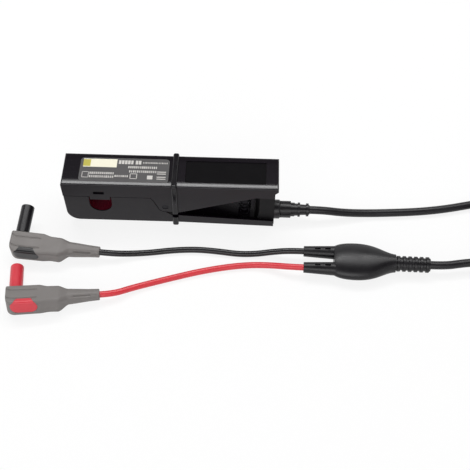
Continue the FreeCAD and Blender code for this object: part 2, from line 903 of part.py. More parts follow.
def output_wires():
    """Two wires from the board, through the block's window and down to the cable."""
    wires = []
    bend = 1.8
    for y in (cable_y - 1.1, cable_y + 1.1):
        x0 = guard_right + board_setback + board_length - 2.0
        x1 = block_x + block_wall + 0.8
        z0 = coil_wire_z
        z1 = cable_z
        a, b = V(x0, y, z0), V(x1 - bend, y, z0)
        corner = V(x1 - bend + bend * math.sqrt(0.5), y, z0 - bend + bend * math.sqrt(0.5))
        c, d = V(x1, y, z0 - bend), V(x1, y, z1)
        path = Part.Wire(
            [
                Part.LineSegment(a, b).toShape(),
                Part.Arc(b, corner, c).toShape(),
                Part.LineSegment(c, d).toShape(),
            ]
        )
        ring = Part.Wire(Part.makeCircle(wire_radius, a, V(1, 0, 0)))
        wires.append(path.makePipeShell([ring], True, True))
    return wires


# ---------------------------------------------------------------- free cable and leads
rest = 0.1  # how far the lying cable is above the bench
coil_centre = (222.0, -15.7)
coil_inner_turn = 21.4
coil_outer_turn = 31.4
coil_top_turn = 26.4
coil_slack = 0.5  # room between the turns that the coil's outer form allows
coil_height = 14.4
coil_stub = 20.0
tie_thickness = 0.6
tie_under = 0.5
tie_degrees = 13.0
tie_clearance = 0.1

main_cable_out_route = (
    (relief_end_x, cable_y, cable_z),
    (93.0, -5.1, 8.4),
    (106.0, -3.9, 5.0),
    (121.0, -1.9, 2.6),
    (138.0, -0.85, 2.6),
    (154.0, 0.6, 2.6),
    (169.0, 3.0, 2.6),
    (182.9, 6.34, 2.6),
    (194.5, 9.45, 2.6),
)
main_cable_back_route = (
    (197.0, -41.5, 7.6),
    (187.5, -40.16, 7.6),
    (175.5, -40.9, 6.4),
    (165.08, -43.16, 6.6),
    (156.089, -42.973, 6.6),
)
black_lead_route = (
    (-41.163, -39.913, 5.757),
    (-33.186, -40.415, 5.408),
    (-22.5, -38.4, 3.0),
    (-11.0, -36.5, 2.0),
    (2.0, -34.2, 2.0),
    (16.0, -33.1, 2.0),
    (29.0, -34.0, 2.0),
    (42.0, -35.7, 2.0),
    (53.0, -35.1, 2.0),
    (62.5, -34.4, 3.6),
    (73.125, -35.333, 6.6),
    (81.119, -35.501, 6.6),
)
red_lead_route = (
    (-37.899, -69.9, 5.357),
    (-29.977, -68.843, 5.008),
    (-20.5, -63.2, 2.8),
    (-9.0, -58.6, 2.0),
    (4.0, -54.2, 2.0),
    (17.0, -50.0, 2.0),
    (30.0, -46.6, 2.0),
    (42.0, -44.3, 2.0),
    (52.0, -43.3, 2.0),
    (62.5, -44.4, 3.6),
    (72.878, -47.131, 6.6),
    (80.872, -47.299, 6.6),
)

# head end (x, y, z), yaw, pitch down towards the tail, and roll that lifts the contact
plug_places = {
    "black": ((-94.507, -36.557, 8.091), -3.6, 2.5, 10.0),
    "red": ((-90.879, -76.969, 7.691), 7.6, 2.5, -8.0),
}


def cord(name, route, radius):
    """A cable as a tube: straight runs joined by arcs that touch both. Prints its radii."""
    points = [V(*p) for p in route]
    edges = []
    here = points[0]
    radii = []
    for a, corner, b in zip(points, points[1:], points[2:]):
        back, ahead = a - corner, b - corner
        half = (math.pi - back.getAngle(ahead)) / 2
        reach = 0.45 * min(back.Length, ahead.Length)
        radii.append(reach / math.tan(half))
        back.normalize()
        ahead.normalize()
        start, end = corner + back * reach, corner + ahead * reach
        middle = back + ahead
        middle.normalize()
        depth = radii[-1] * (1 / math.cos(half) - 1)
        edges.append(Part.LineSegment(here, start).toShape())
        edges.append(Part.Arc(start, corner + middle * depth, end).toShape())
        here = end
    edges.append(Part.LineSegment(here, points[-1]).toShape())
    path = Part.Wire(edges)
    ring = Part.Wire(Part.makeCircle(radius, points[0], points[1] - points[0]))
    tube = path.makePipeShell([ring], True, False)
    print(
        "%s: bend radii %s mm, least z %.2f, volume ratio %.4f"
        % (
            name, " ".join("%.0f" % r for r in radii), tube.BoundBox.ZMin,
            tube.Volume / (math.pi * radius**2 * path.Length),
        )
    )
    return tube


def bundle_section(grow, floor_z):
    """The rounded triangle that holds the coil's turns, as a face in the plane Y = coil centre,
    with its lowest part cut level at floor_z."""
    r = cable_radius + coil_slack + grow
    low = cable_radius + coil_slack
    x0 = coil_centre[0]
    inner = (x0 + coil_inner_turn, low)
    outer = (x0 + coil_outer_turn, low)
    top = (x0 + coil_top_turn, coil_height - cable_radius - coil_slack)
    corners = [inner, outer, top]
    edges, starts, ends = [], [], []
    y = coil_centre[1]
    for i in range(3):
        a, b = corners[i], corners[(i + 1) % 3]
        length = math.hypot(b[0] - a[0], b[1] - a[1])
        nx, nz = (b[1] - a[1]) / length, -(b[0] - a[0]) / length
        starts.append(V(a[0] + nx * r, y, a[1] + nz * r))
        ends.append(V(b[0] + nx * r, y, b[1] + nz * r))
    for i in range(3):
        edges.append(Part.LineSegment(starts[i], ends[i]).toShape())
        corner = corners[(i + 1) % 3]
        centre = V(corner[0], y, corner[1])
        out = (ends[i] - centre) + (starts[(i + 1) % 3] - centre)
        out.normalize()
        edges.append(Part.Arc(ends[i], centre + out * r, starts[(i + 1) % 3]).toShape())
    face = Part.Face(Part.Wire(edges))
    keep = Part.makePlane(100, 60, V(x0, y, floor_z + 60), V(0, 1, 0), V(1, 0, 0))
    if keep.BoundBox.ZMin < floor_z - 0.01:
        keep = Part.makePlane(100, 60, V(x0, y, floor_z), V(0, -1, 0), V(1, 0, 0))
    return face.common(keep).Faces[0]


def round_coil(section, degrees):
    """A section swept round the coil's axis, half each way from its far right."""
    centre, up = V(coil_centre[0], coil_centre[1], 0), V(0, 0, 1)
    swept = section.revolve(centre, up, degrees)
    swept.rotate(centre, up, -degrees / 2)
    return swept


def coil_tie():
    """A flat tie round the bundle, which passes under it in a shallow groove."""
    outer = round_coil(bundle_section(tie_thickness, 0.0), tie_degrees)
    return outer.cut(round_coil(bundle_section(tie_clearance, tie_under), tie_degrees + 1))


def main_cable_coil():
    """The outer form of the tied coil, with a short straight stub at each end."""
    ring = round_coil(bundle_section(0.0, 0.0), 360)
    groove = round_coil(bundle_section(1.0, -1.0), tie_degrees + 0.5)
    under = box(coil_centre[0], coil_centre[0] + 60, -60, 60, -5, tie_under + tie_clearance)
    ring = ring.cut(groove.common(under))
    for end, before in (
        (main_cable_out_route[-1], main_cable_out_route[-2]),
        (main_cable_back_route[0], main_cable_back_route[1]),
    ):
        along = V(*end) - V(*before)
        along.normalize()
        ring = ring.fuse(Part.makeCylinder(cable_radius, coil_stub, V(*end), along))
    return ring.removeSplitter()


def on_splitter(shape):
    """Moves a piece drawn along +X from the outlets' end to the splitter's place."""
    shape.rotate(V(0, 0, 0), V(0, 0, 1), splitter_tilt)
    return shape.translated(V(*splitter_end))


def oval(x, half_y, half_z):
    """An ellipse in the plane X = x."""
    long_axis, short_axis = (half_y, half_z) if half_y >= half_z else (half_z, half_y)
    if abs(half_y - half_z) < 1e-6:
        return Part.Wire(Part.makeCircle(half_y, V(x, 0, 0), V(1, 0, 0)))
    ellipse = Part.Ellipse(V(x, long_axis, 0), V(x, 0, short_axis), V(x, 0, 0))
    return Part.Wire(ellipse.toShape())


def splitter_body():
    """The flat oval moulding where one cable becomes two leads."""
    end = outlet_length + splitter_length
    w, h = splitter_half_width, splitter_half_height
    sections = (
        (outlet_length - 1.6, w * 0.80, h * 0.74),
        (outlet_length + 2.0, w * 0.93, h * 0.90),
        (outlet_length + 8.0, w, h * 0.99),
        (outlet_length + 16.0, w * 0.98, h),
        (outlet_length + 26.0, w * 0.72, h * 0.94),
        (end, boot_radius + 0.75, boot_radius + 0.7),
    )
    body = Part.makeLoft([oval(*s) for s in sections], True, False)
    for side in (-1, 1):
        y = side * outlet_spacing / 2
        cone = Part.makeCone(
            outlet_radius_end, outlet_radius_root, outlet_length + 2, V(0, y, 0), V(1, 0, 0)
        )
        body = body.fuse(cone)
    for side in (-1, 1):
        y = side * outlet_spacing / 2
        for x in (6.5, 12.5):
            body = body.cut(box(x, x + 3.4, y - 0.55, y + 0.55, outlet_radius_end - 0.4, 6))
    return on_splitter(body)


def splitter_boot():
    """The ribbed boot on the single-cable end."""
    start = outlet_length + splitter_length
    boot = rod_x(start, start + boot_length, 0, 0, boot_radius)
    pitch = boot_length / boot_ribs
    for i in range(boot_ribs):
        x = start + pitch * i + pitch * 0.62
        wide = rod_x(x, x + pitch * 0.3, 0, 0, boot_radius + 1)
        narrow = rod_x(x, x + pitch * 0.3, 0, 0, boot_radius - boot_groove)
        boot = boot.cut(wide.cut(narrow))
    return on_splitter(boot)


# ---------------------------------------------------------------- plugs
def on_plug(shape, place):
    """Moves a piece drawn in the plug's own frame to its place. In that frame +X runs from the
    head to the tail and +Y is the way the contact points."""
    (x, y, z), yaw, pitch, roll = place
    shape.rotate(V(0, 0, 0), V(1, 0, 0), roll)
    shape.rotate(V(0, 0, 0), V(0, 1, 0), pitch)
    shape.rotate(V(0, 0, 0), V(0, 0, 1), yaw)
    return shape.translated(V(x, y, z))


def plug_side(z):
    """The plug's outline seen along the leads' plane, as a closed wire at height z."""
    middle = (plug_front - plug_back) / 2
    corner = plug_corner * (1 - math.sqrt(0.5))
    steps = [
        (plug_head, plug_front),
        (plug_waist, plug_front - 1.3),
        (plug_bulge, plug_front - 1.4),
        (plug_neck, plug_neck_radius),
        (plug_neck, -plug_neck_radius),
        (plug_bulge + 0.5, -plug_back + 0.4),
        (plug_waist, -plug_back + 0.4),
        (plug_head, -plug_back),
        (plug_corner, -plug_back),
        (corner, -plug_back + corner, 0, -plug_back + plug_corner),
        (0, middle),
    ]
    edges = []
    here = V(0, plug_front, z)
    for step in steps + [(0, plug_front)]:
        end = V(step[-2], step[-1], z)
        if len(step) == 4:
            edges.append(Part.Arc(here, V(step[0], step[1], z), end).toShape())
        else:
            edges.append(Part.LineSegment(here, end).toShape())
        here = end
    return Part.Wire(edges)


def plug_body(place):
    """The grey moulding: a flat head with two finger grooves a side, a waist, a bulge and a
    tapered tail with a long slot a side."""
    t = plug_half_thickness
    head = Part.Face(plug_side(-t)).extrude(V(0, 0, 2 * t))
    above = side_prism(
        (0, t),
        [(plug_waist - 1, t), (plug_bulge, t - 0.2), (plug_neck, plug_neck_radius),
         (plug_neck, -plug_neck_radius), (plug_bulge, 0.2 - t), (plug_waist - 1, -t), (0, -t)],
        -20, 20,
    )
    head = head.common(above)
    head = head.makeChamfer(
        plug_edge,
        edges_where(head, lambda b: b.XLength > 6 and b.YLength < 0.01 and b.ZLength < 0.01),
    )
    tail = Part.makeCone(
        plug_neck_radius, plug_tail_end, plug_length - plug_neck, V(plug_neck, 0, 0), V(1, 0, 0)
    )
    body = head.fuse(tail)
    for side in (-1, 1):
        for y in (-groove_offset, groove_offset):
            y += (plug_front - plug_back) / 2
            z0, z1 = sorted((side * (t - 0.4), side * (t + 1)))
            body = body.cut(box(-1, plug_head - 0.6, y - 0.35, y + 0.35, z0, z1))
        z0, z1 = sorted((side * 2.9, side * 6))
        body = body.cut(box(plug_neck + 3.0, plug_length - 4.5, -0.6, 0.6, z0, z1))
    y0 = plug_front - shroud_seat
    body = body.cut(rod_y(y0, plug_front + 5, shroud_from_end, 0, shroud_shank + seat_gap))
    body = body.cut(rod_y(y0 - shank_reach, y0, shroud_from_end, 0, shank_radius + seat_gap))
    return on_plug(body.cut(plug_insert_form(0.0)).removeSplitter(), place)


def plug_insert_form(clearance):
    """The oval piece let into the plug's back."""
    half_long, half_short = insert_half_length - clearance, insert_half_width - clearance
    low, high = -plug_back - 1, -plug_back + insert_depth
    straight = half_long - half_short
    form = box(
        insert_middle - straight, insert_middle + straight, low, high, -half_short, half_short
    )
    for x in (insert_middle - straight, insert_middle + straight):
        form = form.fuse(rod_y(low, high, x, 0, half_short))
    return form.removeSplitter()


def plug_insert(place):
    form = plug_insert_form(0.1)
    form = form.cut(box(-5, 40, -plug_back - 2, -plug_back + window_inset, -10, 10))
    return on_plug(form, place)


def plug_shroud(place):
    """The coloured sleeve round the contact, on a narrower shank that is held in the head."""
    y0 = plug_front - shroud_seat
    y1 = y0 + shroud_length
    x = shroud_from_end
    shroud = rod_y(plug_front + shroud_relief_length, y1, x, 0, shroud_radius)
    shroud = shroud.makeFillet(0.4, edges_where(shroud, lambda b: b.YMin > y1 - 0.01))
    shroud = shroud.fuse(
        rod_y(plug_front, plug_front + shroud_relief_length, x, 0, shroud_radius - shroud_relief)
    )
    shroud = shroud.fuse(rod_y(y0, plug_front, x, 0, shroud_shank))
    shroud = shroud.cut(rod_y(plug_front, y1 + 1, x, 0, shroud_bore))
    shroud = shroud.cut(rod_y(y0 - 1, y1, x, 0, shank_radius + seat_gap))
    return on_plug(shroud, place)


def plug_contact(place):
    """The contact pin: a shank in the head and a bulged, slotted spring cage inside the sleeve."""
    seat = plug_front - shroud_seat
    y0, y1 = seat - shank_reach, seat + shroud_length - 1.2
    x = shroud_from_end
    outline = [
        (0, y0), (shank_radius, y0), (shank_radius, plug_front + 1.0), (1.75, plug_front + 1.4),
        (1.75, plug_front + 3.0), (contact_radius, plug_front + 6.5),
        (contact_radius, plug_front + 10.5), (1.7, y1 - 2.0), (1.7, y1 - 0.6), (1.1, y1), (0, y1),
    ]
    points = [V(x + r, y, 0) for r, y in outline]
    wire = Part.makePolygon(points + [points[0]])
    pin = Part.Face(wire).revolve(V(x, 0, 0), V(0, 1, 0), 360)
    for turn in range(4):
        slot = box(-0.18, 0.18, plug_front + 4.0, plug_front + 13.0, 1.25, 3.0)
        slot.rotate(V(0, 0, 0), V(0, 1, 0), 90 * turn + 45)
        pin = pin.cut(slot.translated(V(x, 0, 0)))
    return on_plug(pin, place)


def main():
    save("upper_housing", upper_housing())
    save("upper_guard", upper_guard())
    save("upper_jaw_plate", upper_jaw_plate())
    save("label_plate", label_plate())
    save("grip_pad", grip_pad())
    save("fixed_core", fixed_core())
    save("core_pads", *core_pads())
    save("coil_bobbin", coil_bobbin())
    save("coil_winding", coil_winding())
    save("coil_wires", *coil_wires())
    save("circuit_board", circuit_board())
    for name, solid in board_parts().items():
        save(name, solid)
    save("electronics_screen", electronics_screen())
    screen_screws = [
        screw(
            x, y, screen_seat_z(x), min(6.0, roof_z - 0.9 - screen_seat_z(x)),
            screw_radius, screw_head_radius, screw_head_height,
        )
        for x, y in screen_post_places()
    ]
    save("screen_screws", *screen_screws)
    board_screws = [screw(x, y, board_z, 3.6, 0.9, 1.5, 0.9) for x, y in board_post_places()]
    save("board_screws", *board_screws)
    save("tail_block", tail_block())
    save(
        "block_screw",
        screw(block_screw_x, block_screw_y, block_seat_z, 7.0, screw_radius, screw_head_radius, 1.5),
    )
    save("strain_relief", strain_relief())
    save("cable_inlet", cable_inlet())
    save("cable_clamp", cable_clamp())
    save("output_wires", *output_wires())
    save("pivot_pin", pivot_pin())
    save("jaw_lever", jaw_lever())
    save("lower_guard", lower_guard())
    save("pivot_bush", pivot_bush())
    save("moving_core", moving_core())
    save("core_pad_lower", core_pad_lower())
    save("jaw_liner", jaw_liner())
    left = nose_at(jaw_floor + nose_round) + end_wall + slip
    save("jaw_cover_front", jaw_cover(left, cover_left - slip, leg_left))
    save("jaw_cover_rear", jaw_cover(cover_right + slip, jaw_cavity_end - slip, leg_right))
    save("return_spring", return_spring())
    save("main_cable_out", cord("main_cable_out", main_cable_out_route, cable_radius))
    save("main_cable_coil", main_cable_coil())
    save("coil_tie", coil_tie())
    save("main_cable_back", cord("main_cable_back", main_cable_back_route, cable_radius))
    save("splitter_body", splitter_body())
    save("splitter_boot", splitter_boot())
    save("black_lead", cord("black_lead", black_lead_route, lead_radius))
    save("red_lead", cord("red_lead", red_lead_route, lead_radius))
    for colour, place in plug_places.items():
        save(colour + "_plug_body", plug_body(place))
        save(colour + "_plug_insert", plug_insert(place))
        save(colour + "_plug_shroud", plug_shroud(place))
        save(colour + "_plug_contact", plug_contact(place))


main()
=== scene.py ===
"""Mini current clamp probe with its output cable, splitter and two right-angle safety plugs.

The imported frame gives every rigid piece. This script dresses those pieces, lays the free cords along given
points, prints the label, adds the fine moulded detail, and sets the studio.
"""

import logging
import math
from dataclasses import dataclass, field
from enum import Enum

import bmesh
import bpy
from mathutils import Matrix, Vector


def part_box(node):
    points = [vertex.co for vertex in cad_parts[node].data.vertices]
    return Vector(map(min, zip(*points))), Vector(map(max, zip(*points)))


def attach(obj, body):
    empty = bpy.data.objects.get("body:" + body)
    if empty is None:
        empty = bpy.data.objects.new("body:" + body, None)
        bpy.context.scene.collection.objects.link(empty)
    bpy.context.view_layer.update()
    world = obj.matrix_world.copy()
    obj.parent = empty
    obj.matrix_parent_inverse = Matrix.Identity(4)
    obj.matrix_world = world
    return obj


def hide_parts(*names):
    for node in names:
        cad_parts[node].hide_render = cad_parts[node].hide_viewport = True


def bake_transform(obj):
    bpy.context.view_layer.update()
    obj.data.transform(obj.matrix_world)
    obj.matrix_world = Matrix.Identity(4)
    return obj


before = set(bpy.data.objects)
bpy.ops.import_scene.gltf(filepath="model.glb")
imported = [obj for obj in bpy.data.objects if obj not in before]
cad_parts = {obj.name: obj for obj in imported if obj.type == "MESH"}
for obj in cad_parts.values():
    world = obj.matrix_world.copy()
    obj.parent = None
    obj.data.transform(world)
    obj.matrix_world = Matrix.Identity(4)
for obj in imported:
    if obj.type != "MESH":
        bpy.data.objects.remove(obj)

LOG = logging.getLogger("clamp_probe")
HOUSING = "housing"
MM = 0.001
PATCH_SCALE = 70.0  # patches of slightly different colour for each metre
CROWN_MM = (7.2, 12.5)  # from the middle line, where the roof starts to fall away and its rim
LOOKS_UP = (0.55, 0.9)  # upward share of a normal that counts as the roof
MOULDED_EDGE = 38.0  # degrees over which an edge stays sharp

Point = tuple[float, float, float]


# ---------------------------------------------------------------- shader helpers
def linear(code: str) -> tuple[float, float, float, float]:
    """Turns an sRGB hex value into a linear colour.

    Args:
        code: Six hex digits, with or without a leading hash.

    Returns:
        Linear red, green, blue and an alpha of 1.
    """
    text = code.lstrip("#")
    parts = [int(text[i : i + 2], 16) / 255 for i in (0, 2, 4)]
    low = [c / 12.92 if c <= 0.04045 else ((c + 0.055) / 1.055) ** 2.4 for c in parts]
    return (low[0], low[1], low[2], 1.0)


def add(tree: bpy.types.NodeTree, kind: str, links: dict | None = None, **settings) -> bpy.types.Node:
    """Adds one node with its settings and its links.

    Args:
        tree: Node tree that gets the node.
        kind: Node's type name.
        links: Input name or number to an output socket, or to a value.
        settings: Attributes of the node.

    Returns:
        The new node.
    """
    node = tree.nodes.new(kind)
    for name, value in settings.items():
        setattr(node, name, value)
    for key, value in (links or {}).items():
        socket = node.inputs[key]
        if isinstance(value, bpy.types.NodeSocket):
            tree.links.new(value, socket)
        else:
            socket.default_value = value
    return node


class Process(Enum):
    """How a surface was made, which decides its relief."""

    SPARK_ERODED = "spark eroded mould, a fine even grain"
    POLISHED = "polished mould, with faint waviness only"
    EXTRUDED = "extruded jacket, with drawn marks along it"
    TURNED = "turned metal, with rings round its axis"
    CAST = "sawn or cast metal, coarse and uneven"
    WOVEN = "woven strap"
    PRINTED = "flat printed film"


@dataclass(frozen=True)
class Finish:
    """One real material and how its surface was made.

    Attributes:
        name: Material's name.
        colour: sRGB hex value of its base colour.
        process: How its surface was made.
        roughness: Middle roughness.
        spread: How far roughness wanders each way.
        grain_mm: Real distance between neighbouring grains.
        relief_mm: Height of that grain.
        tint: sRGB hex value that the colour wanders towards.
        tint_share: How far the colour wanders towards the tint.
        metallic: 1 for a metal.
        specular: Strength of the shine, 0.5 where nothing dulls it.
        roof_roughness: Roughness of the faces that look up, or None where they are like the rest.
        crown_mm: How far the roof falls away at its two long rims, for a moulding with a soft crown.
    """

    name: str
    colour: str
    process: Process
    roughness: float
    spread: float = 0.05
    grain_mm: float = 0.5
    relief_mm: float = 0.01
    tint: str = "808080"
    tint_share: float = 0.06
    metallic: float = 0.0
    specular: float = 0.5
    roof_roughness: float | None = None
    crown_mm: float = 0.0

    def build(self) -> bpy.types.Material:
        """Makes the material's node tree.

        Returns:
            The material, made once and then reused.
        """
        known = bpy.data.materials.get(self.name)
        if known:
            return known
        made = bpy.data.materials.new(self.name)
        made.use_nodes = True
        tree = made.node_tree
        tree.nodes.clear()
        where = add(tree, "ShaderNodeTexCoord").outputs["Object"]
        scale = 1.0 / (self.grain_mm * MM)
        grain = self.relief_source(tree, where, scale)
        patches = add(
            tree, "ShaderNodeTexNoise",
            {"Vector": where, "Scale": PATCH_SCALE, "Detail": 4.0, "Roughness": 0.6},
        ).outputs["Fac"]
        tint_share = add(
            tree, "ShaderNodeMapRange",
            {"Value": patches, "From Min": 0.35, "From Max": 0.7, "To Min": 0.0, "To Max": self.tint_share},
        ).outputs["Result"]
        colour = add(
            tree, "ShaderNodeMix", {0: tint_share, 6: linear(self.colour), 7: linear(self.tint)},
            data_type="RGBA",
        )
        rough = add(
            tree, "ShaderNodeMapRange",
            {
                "Value": patches, "From Min": 0.3, "From Max": 0.7,
                "To Min": max(0.02, self.roughness - self.spread),
                "To Max": min(1.0, self.roughness + self.spread),
            },
        ).outputs["Result"]
        if self.roof_roughness is not None:
            rough = self.polish_roof(tree, rough)
        bump = add(
            tree, "ShaderNodeBump",
            {"Height": grain, "Strength": 1.0, "Distance": self.relief_mm * MM},
        ).outputs["Normal"]
        if self.crown_mm:
            bump = self.crown(tree, where, bump)
        shader = add(
            tree, "ShaderNodeBsdfPrincipled",
            {
                "Base Color": colour.outputs[2], "Roughness": rough, "Metallic": self.metallic,
                "Normal": bump,
            },
        )
        shader.inputs["Specular IOR Level"].default_value = self.specular
        add(tree, "ShaderNodeOutputMaterial", {"Surface": shader.outputs["BSDF"]})
        return made

    def crown(
        self, tree: bpy.types.NodeTree, where: bpy.types.NodeSocket, normal: bpy.types.NodeSocket
    ) -> bpy.types.NodeSocket:
        """Leans the surface outwards near the two long rims.

        Args:
            tree: Material's node tree.
            where: Object coordinates.
            normal: Surface normal with its grain.

        Returns:
            The socket that carries the normal.
        """
        across = add(tree, "ShaderNodeSeparateXYZ", {"Vector": where}).outputs["Y"]
        away = add(tree, "ShaderNodeMath", {0: across}, operation="ABSOLUTE").outputs[0]
        share = add(
            tree, "ShaderNodeMapRange",
            {"Value": away, "From Min": CROWN_MM[0] * MM, "From Max": CROWN_MM[1] * MM},
        ).outputs["Result"]
        curve = add(tree, "ShaderNodeMath", {0: share, 1: 2.0}, operation="POWER").outputs[0]
        height = add(
            tree, "ShaderNodeMath", {0: curve, 1: -self.crown_mm * MM}, operation="MULTIPLY"
        ).outputs[0]
        return add(
            tree, "ShaderNodeBump", {"Height": height, "Normal": normal, "Strength": 1.0, "Distance": 1.0}
        ).outputs["Normal"]

    def polish_roof(
        self, tree: bpy.types.NodeTree, rough: bpy.types.NodeSocket
    ) -> bpy.types.NodeSocket:
        """Makes the faces that look up smoother than the sides.

        Args:
            tree: Material's node tree.
            rough: Roughness of the sides.

        Returns:
            The socket that carries the roughness.
        """
        facing = add(tree, "ShaderNodeTexCoord").outputs["Normal"]
        upward = add(tree, "ShaderNodeSeparateXYZ", {"Vector": facing}).outputs["Z"]
        share = add(
            tree, "ShaderNodeMapRange", {"Value": upward, "From Min": LOOKS_UP[0], "From Max": LOOKS_UP[1]}
        ).outputs["Result"]
        return add(tree, "ShaderNodeMix", {0: share, 2: rough, 3: self.roof_roughness}).outputs[0]

    def relief_source(
        self, tree: bpy.types.NodeTree, where: bpy.types.NodeSocket, scale: float
    ) -> bpy.types.NodeSocket:
        """Picks the pattern whose height makes the relief.

        Args:
            tree: Material's node tree.
            where: Object coordinates.
            scale: Grains for each metre.

        Returns:
            The socket that carries the height.
        """
        if self.process is Process.WOVEN:
            wave = add(
                tree, "ShaderNodeTexWave", {"Vector": where, "Scale": scale / 6.2, "Distortion": 1.5},
                bands_direction="Z",
            )
            return wave.outputs["Fac"]
        if self.process is Process.TURNED:
            wave = add(
                tree, "ShaderNodeTexWave", {"Vector": where, "Scale": scale / 6.2, "Distortion": 0.4},
                bands_direction="Y",
            )
            return wave.outputs["Fac"]
        detail = {Process.POLISHED: 1.0, Process.CAST: 6.0}.get(self.process, 3.0)
        noise = add(tree, "ShaderNodeTexNoise", {"Vector": where, "Scale": scale, "Detail": detail})
        return noise.outputs["Fac"]


# ABS from a spark-eroded mould: satin sides that bloom grey, and a smoother roof that stays near black
# except where it mirrors a lamp.
BODY_ABS = Finish(
    "abs_satin_black", "0d080f", Process.SPARK_ERODED, 0.42, 0.05, 0.35, 0.004, "150f18", 0.25,
    specular=0.3, roof_roughness=0.14, crown_mm=0.42,
)
# The finger guard is polished in the mould, so it shows sharper lights than the body.
GUARD_ABS = Finish(
    "abs_polished_black", "0a070c", Process.POLISHED, 0.17, 0.04, 2.5, 0.006, "130f16", 0.2, specular=0.3
)
PLATE_ABS = Finish(
    "abs_inner_black", "060507", Process.SPARK_ERODED, 0.6, 0.05, 0.5, 0.01, "0c0a0d", 0.2, specular=0.2
)
# Printed polyester film: matt and a shade paler than the moulding round it.
LABEL_FILM = Finish("polyester_film_grey", "353334", Process.PRINTED, 0.5, 0.03, 0.25, 0.001, "3d3b3c", 0.2)
INK = Finish("screen_ink_pale", "c4c1bd", Process.PRINTED, 0.55, 0.03, 0.3, 0.001, "a9a6a1", 0.25)
CREAM = Finish("screen_ink_cream", "e9e5d0", Process.PRINTED, 0.5, 0.03, 0.3, 0.001, "cfcab0", 0.2)
YELLOW = Finish("screen_ink_yellow", "b3a935", Process.PRINTED, 0.5, 0.03, 0.3, 0.001, "a09730", 0.2)
# Thermoplastic rubber laid into the thumb recess: almost no shine.
GRIP_TPE = Finish(
    "tpe_matt_black", "050406", Process.SPARK_ERODED, 0.7, 0.05, 0.6, 0.012, "0b090c", 0.3, specular=0.08
)
CORE_STEEL = Finish(
    "silicon_steel_lamination", "7d7f82", Process.CAST, 0.42, 0.08, 0.5, 0.02, "5e6062", 0.4, 1.0
)
FOAM = Finish("polyurethane_foam_grey", "4a4a4a", Process.CAST, 0.95, 0.03, 0.6, 0.15, "2e2e2e", 0.5)
NYLON_NATURAL = Finish("nylon_natural", "d9d3c2", Process.SPARK_ERODED, 0.45, 0.05, 0.5, 0.01, "c3bba5", 0.3)
ENAMELLED_COPPER = Finish(
    "copper_enamelled", "a4532a", Process.TURNED, 0.3, 0.05, 0.25, 0.06, "7c3516", 0.4, 1.0
)
WIRE_PVC = Finish("pvc_wire_grey", "a9a8a4", Process.EXTRUDED, 0.4, 0.05, 0.5, 0.01, "8d8c88", 0.3)
BOARD = Finish("solder_mask_green", "1e6b3a", Process.POLISHED, 0.35, 0.05, 1.0, 0.01, "18552e", 0.3)
EPOXY = Finish("epoxy_black", "191919", Process.SPARK_ERODED, 0.5, 0.05, 0.3, 0.01, "262626", 0.3)
LACQUER = Finish("resistor_lacquer_tan", "b59a6a", Process.POLISHED, 0.35, 0.05, 0.6, 0.01, "9b8154", 0.3)
TRIMMER = Finish("polyester_blue", "2a4fa0", Process.POLISHED, 0.4, 0.05, 0.6, 0.01, "203f85", 0.3)
ZINC = Finish("zinc_plated_steel", "a7a9ac", Process.TURNED, 0.3, 0.07, 0.3, 0.01, "8b8d90", 0.4, 1.0)
# Black oxide on steel: dark and satin, as on the pivot pin and the return spring.
BLACK_OXIDE = Finish(
    "black_oxide_steel", "2b2a2d", Process.TURNED, 0.38, 0.06, 0.3, 0.006, "1d1c1f", 0.4, 1.0
)
BRASS = Finish("brass_turned", "c3a04d", Process.TURNED, 0.28, 0.06, 0.3, 0.01, "a58339", 0.4, 1.0)
# Polycarbonate hole lining: red in itself, with the shade of the hole painted into its colour as a dark
# maroon.
SHADED_LINER_PC = Finish(
    "polycarbonate_red_painted_shade", "5c0e20", Process.SPARK_ERODED, 0.36, 0.05, 0.5, 0.006, "450a18", 0.3, specular=0.3
)
# Soft PVC overmoulds: satin, with a slightly milky bloom on the crests.
BOOT_PVC = Finish(
    "pvc_overmould_black", "0d0b0f", Process.SPARK_ERODED, 0.36, 0.06, 0.5, 0.008, "18151a", 0.3,
    specular=0.35,
)
CABLE_PVC = Finish(
    "pvc_jacket_black", "100e12", Process.EXTRUDED, 0.36, 0.05, 0.9, 0.008, "1b191e", 0.3, specular=0.35
)
LEAD_BLACK = Finish(
    "pvc_lead_black", "0e0c10", Process.EXTRUDED, 0.28, 0.05, 0.9, 0.006, "19171b", 0.3, specular=0.4
)
LEAD_RED = Finish("pvc_lead_red", "d2323c", Process.EXTRUDED, 0.34, 0.05, 0.9, 0.006, "bd2934", 0.3)
TIE = Finish("nylon_strap_black", "1b1b1c", Process.WOVEN, 0.8, 0.05, 0.6, 0.12, "2d2d2e", 0.4)
# Glass-filled polyamide of the plug bodies: matt mid grey with a fine grain.
PLUG_GREY = Finish(
    "polyamide_grey", "767270", Process.SPARK_ERODED, 0.48, 0.05, 0.4, 0.006, "6a6663", 0.35, specular=0.35
)
PLUG_BLACK = Finish(
    "polyamide_black", "0d0b0f", Process.SPARK_ERODED, 0.34, 0.05, 0.5, 0.005, "18151a", 0.3, specular=0.35
)
PLUG_RED = Finish("polyamide_red", "d0323f", Process.SPARK_ERODED, 0.34, 0.05, 0.5, 0.005, "bb2938", 0.3)
NICKEL = Finish("nickel_plated_brass", "c9c3b4", Process.TURNED, 0.2, 0.05, 0.3, 0.005, "aca695", 0.4, 1.0)


def dress(node: str, finish: Finish) -> bpy.types.Object:
    """Gives a carried-over node its finish.

    Args:
        node: Name of the node.
        finish: Finish that it gets.

    Returns:
        The node's object.
    """
    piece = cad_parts[node]
    piece.data.materials.clear()
    piece.data.materials.append(finish.build())
    return piece


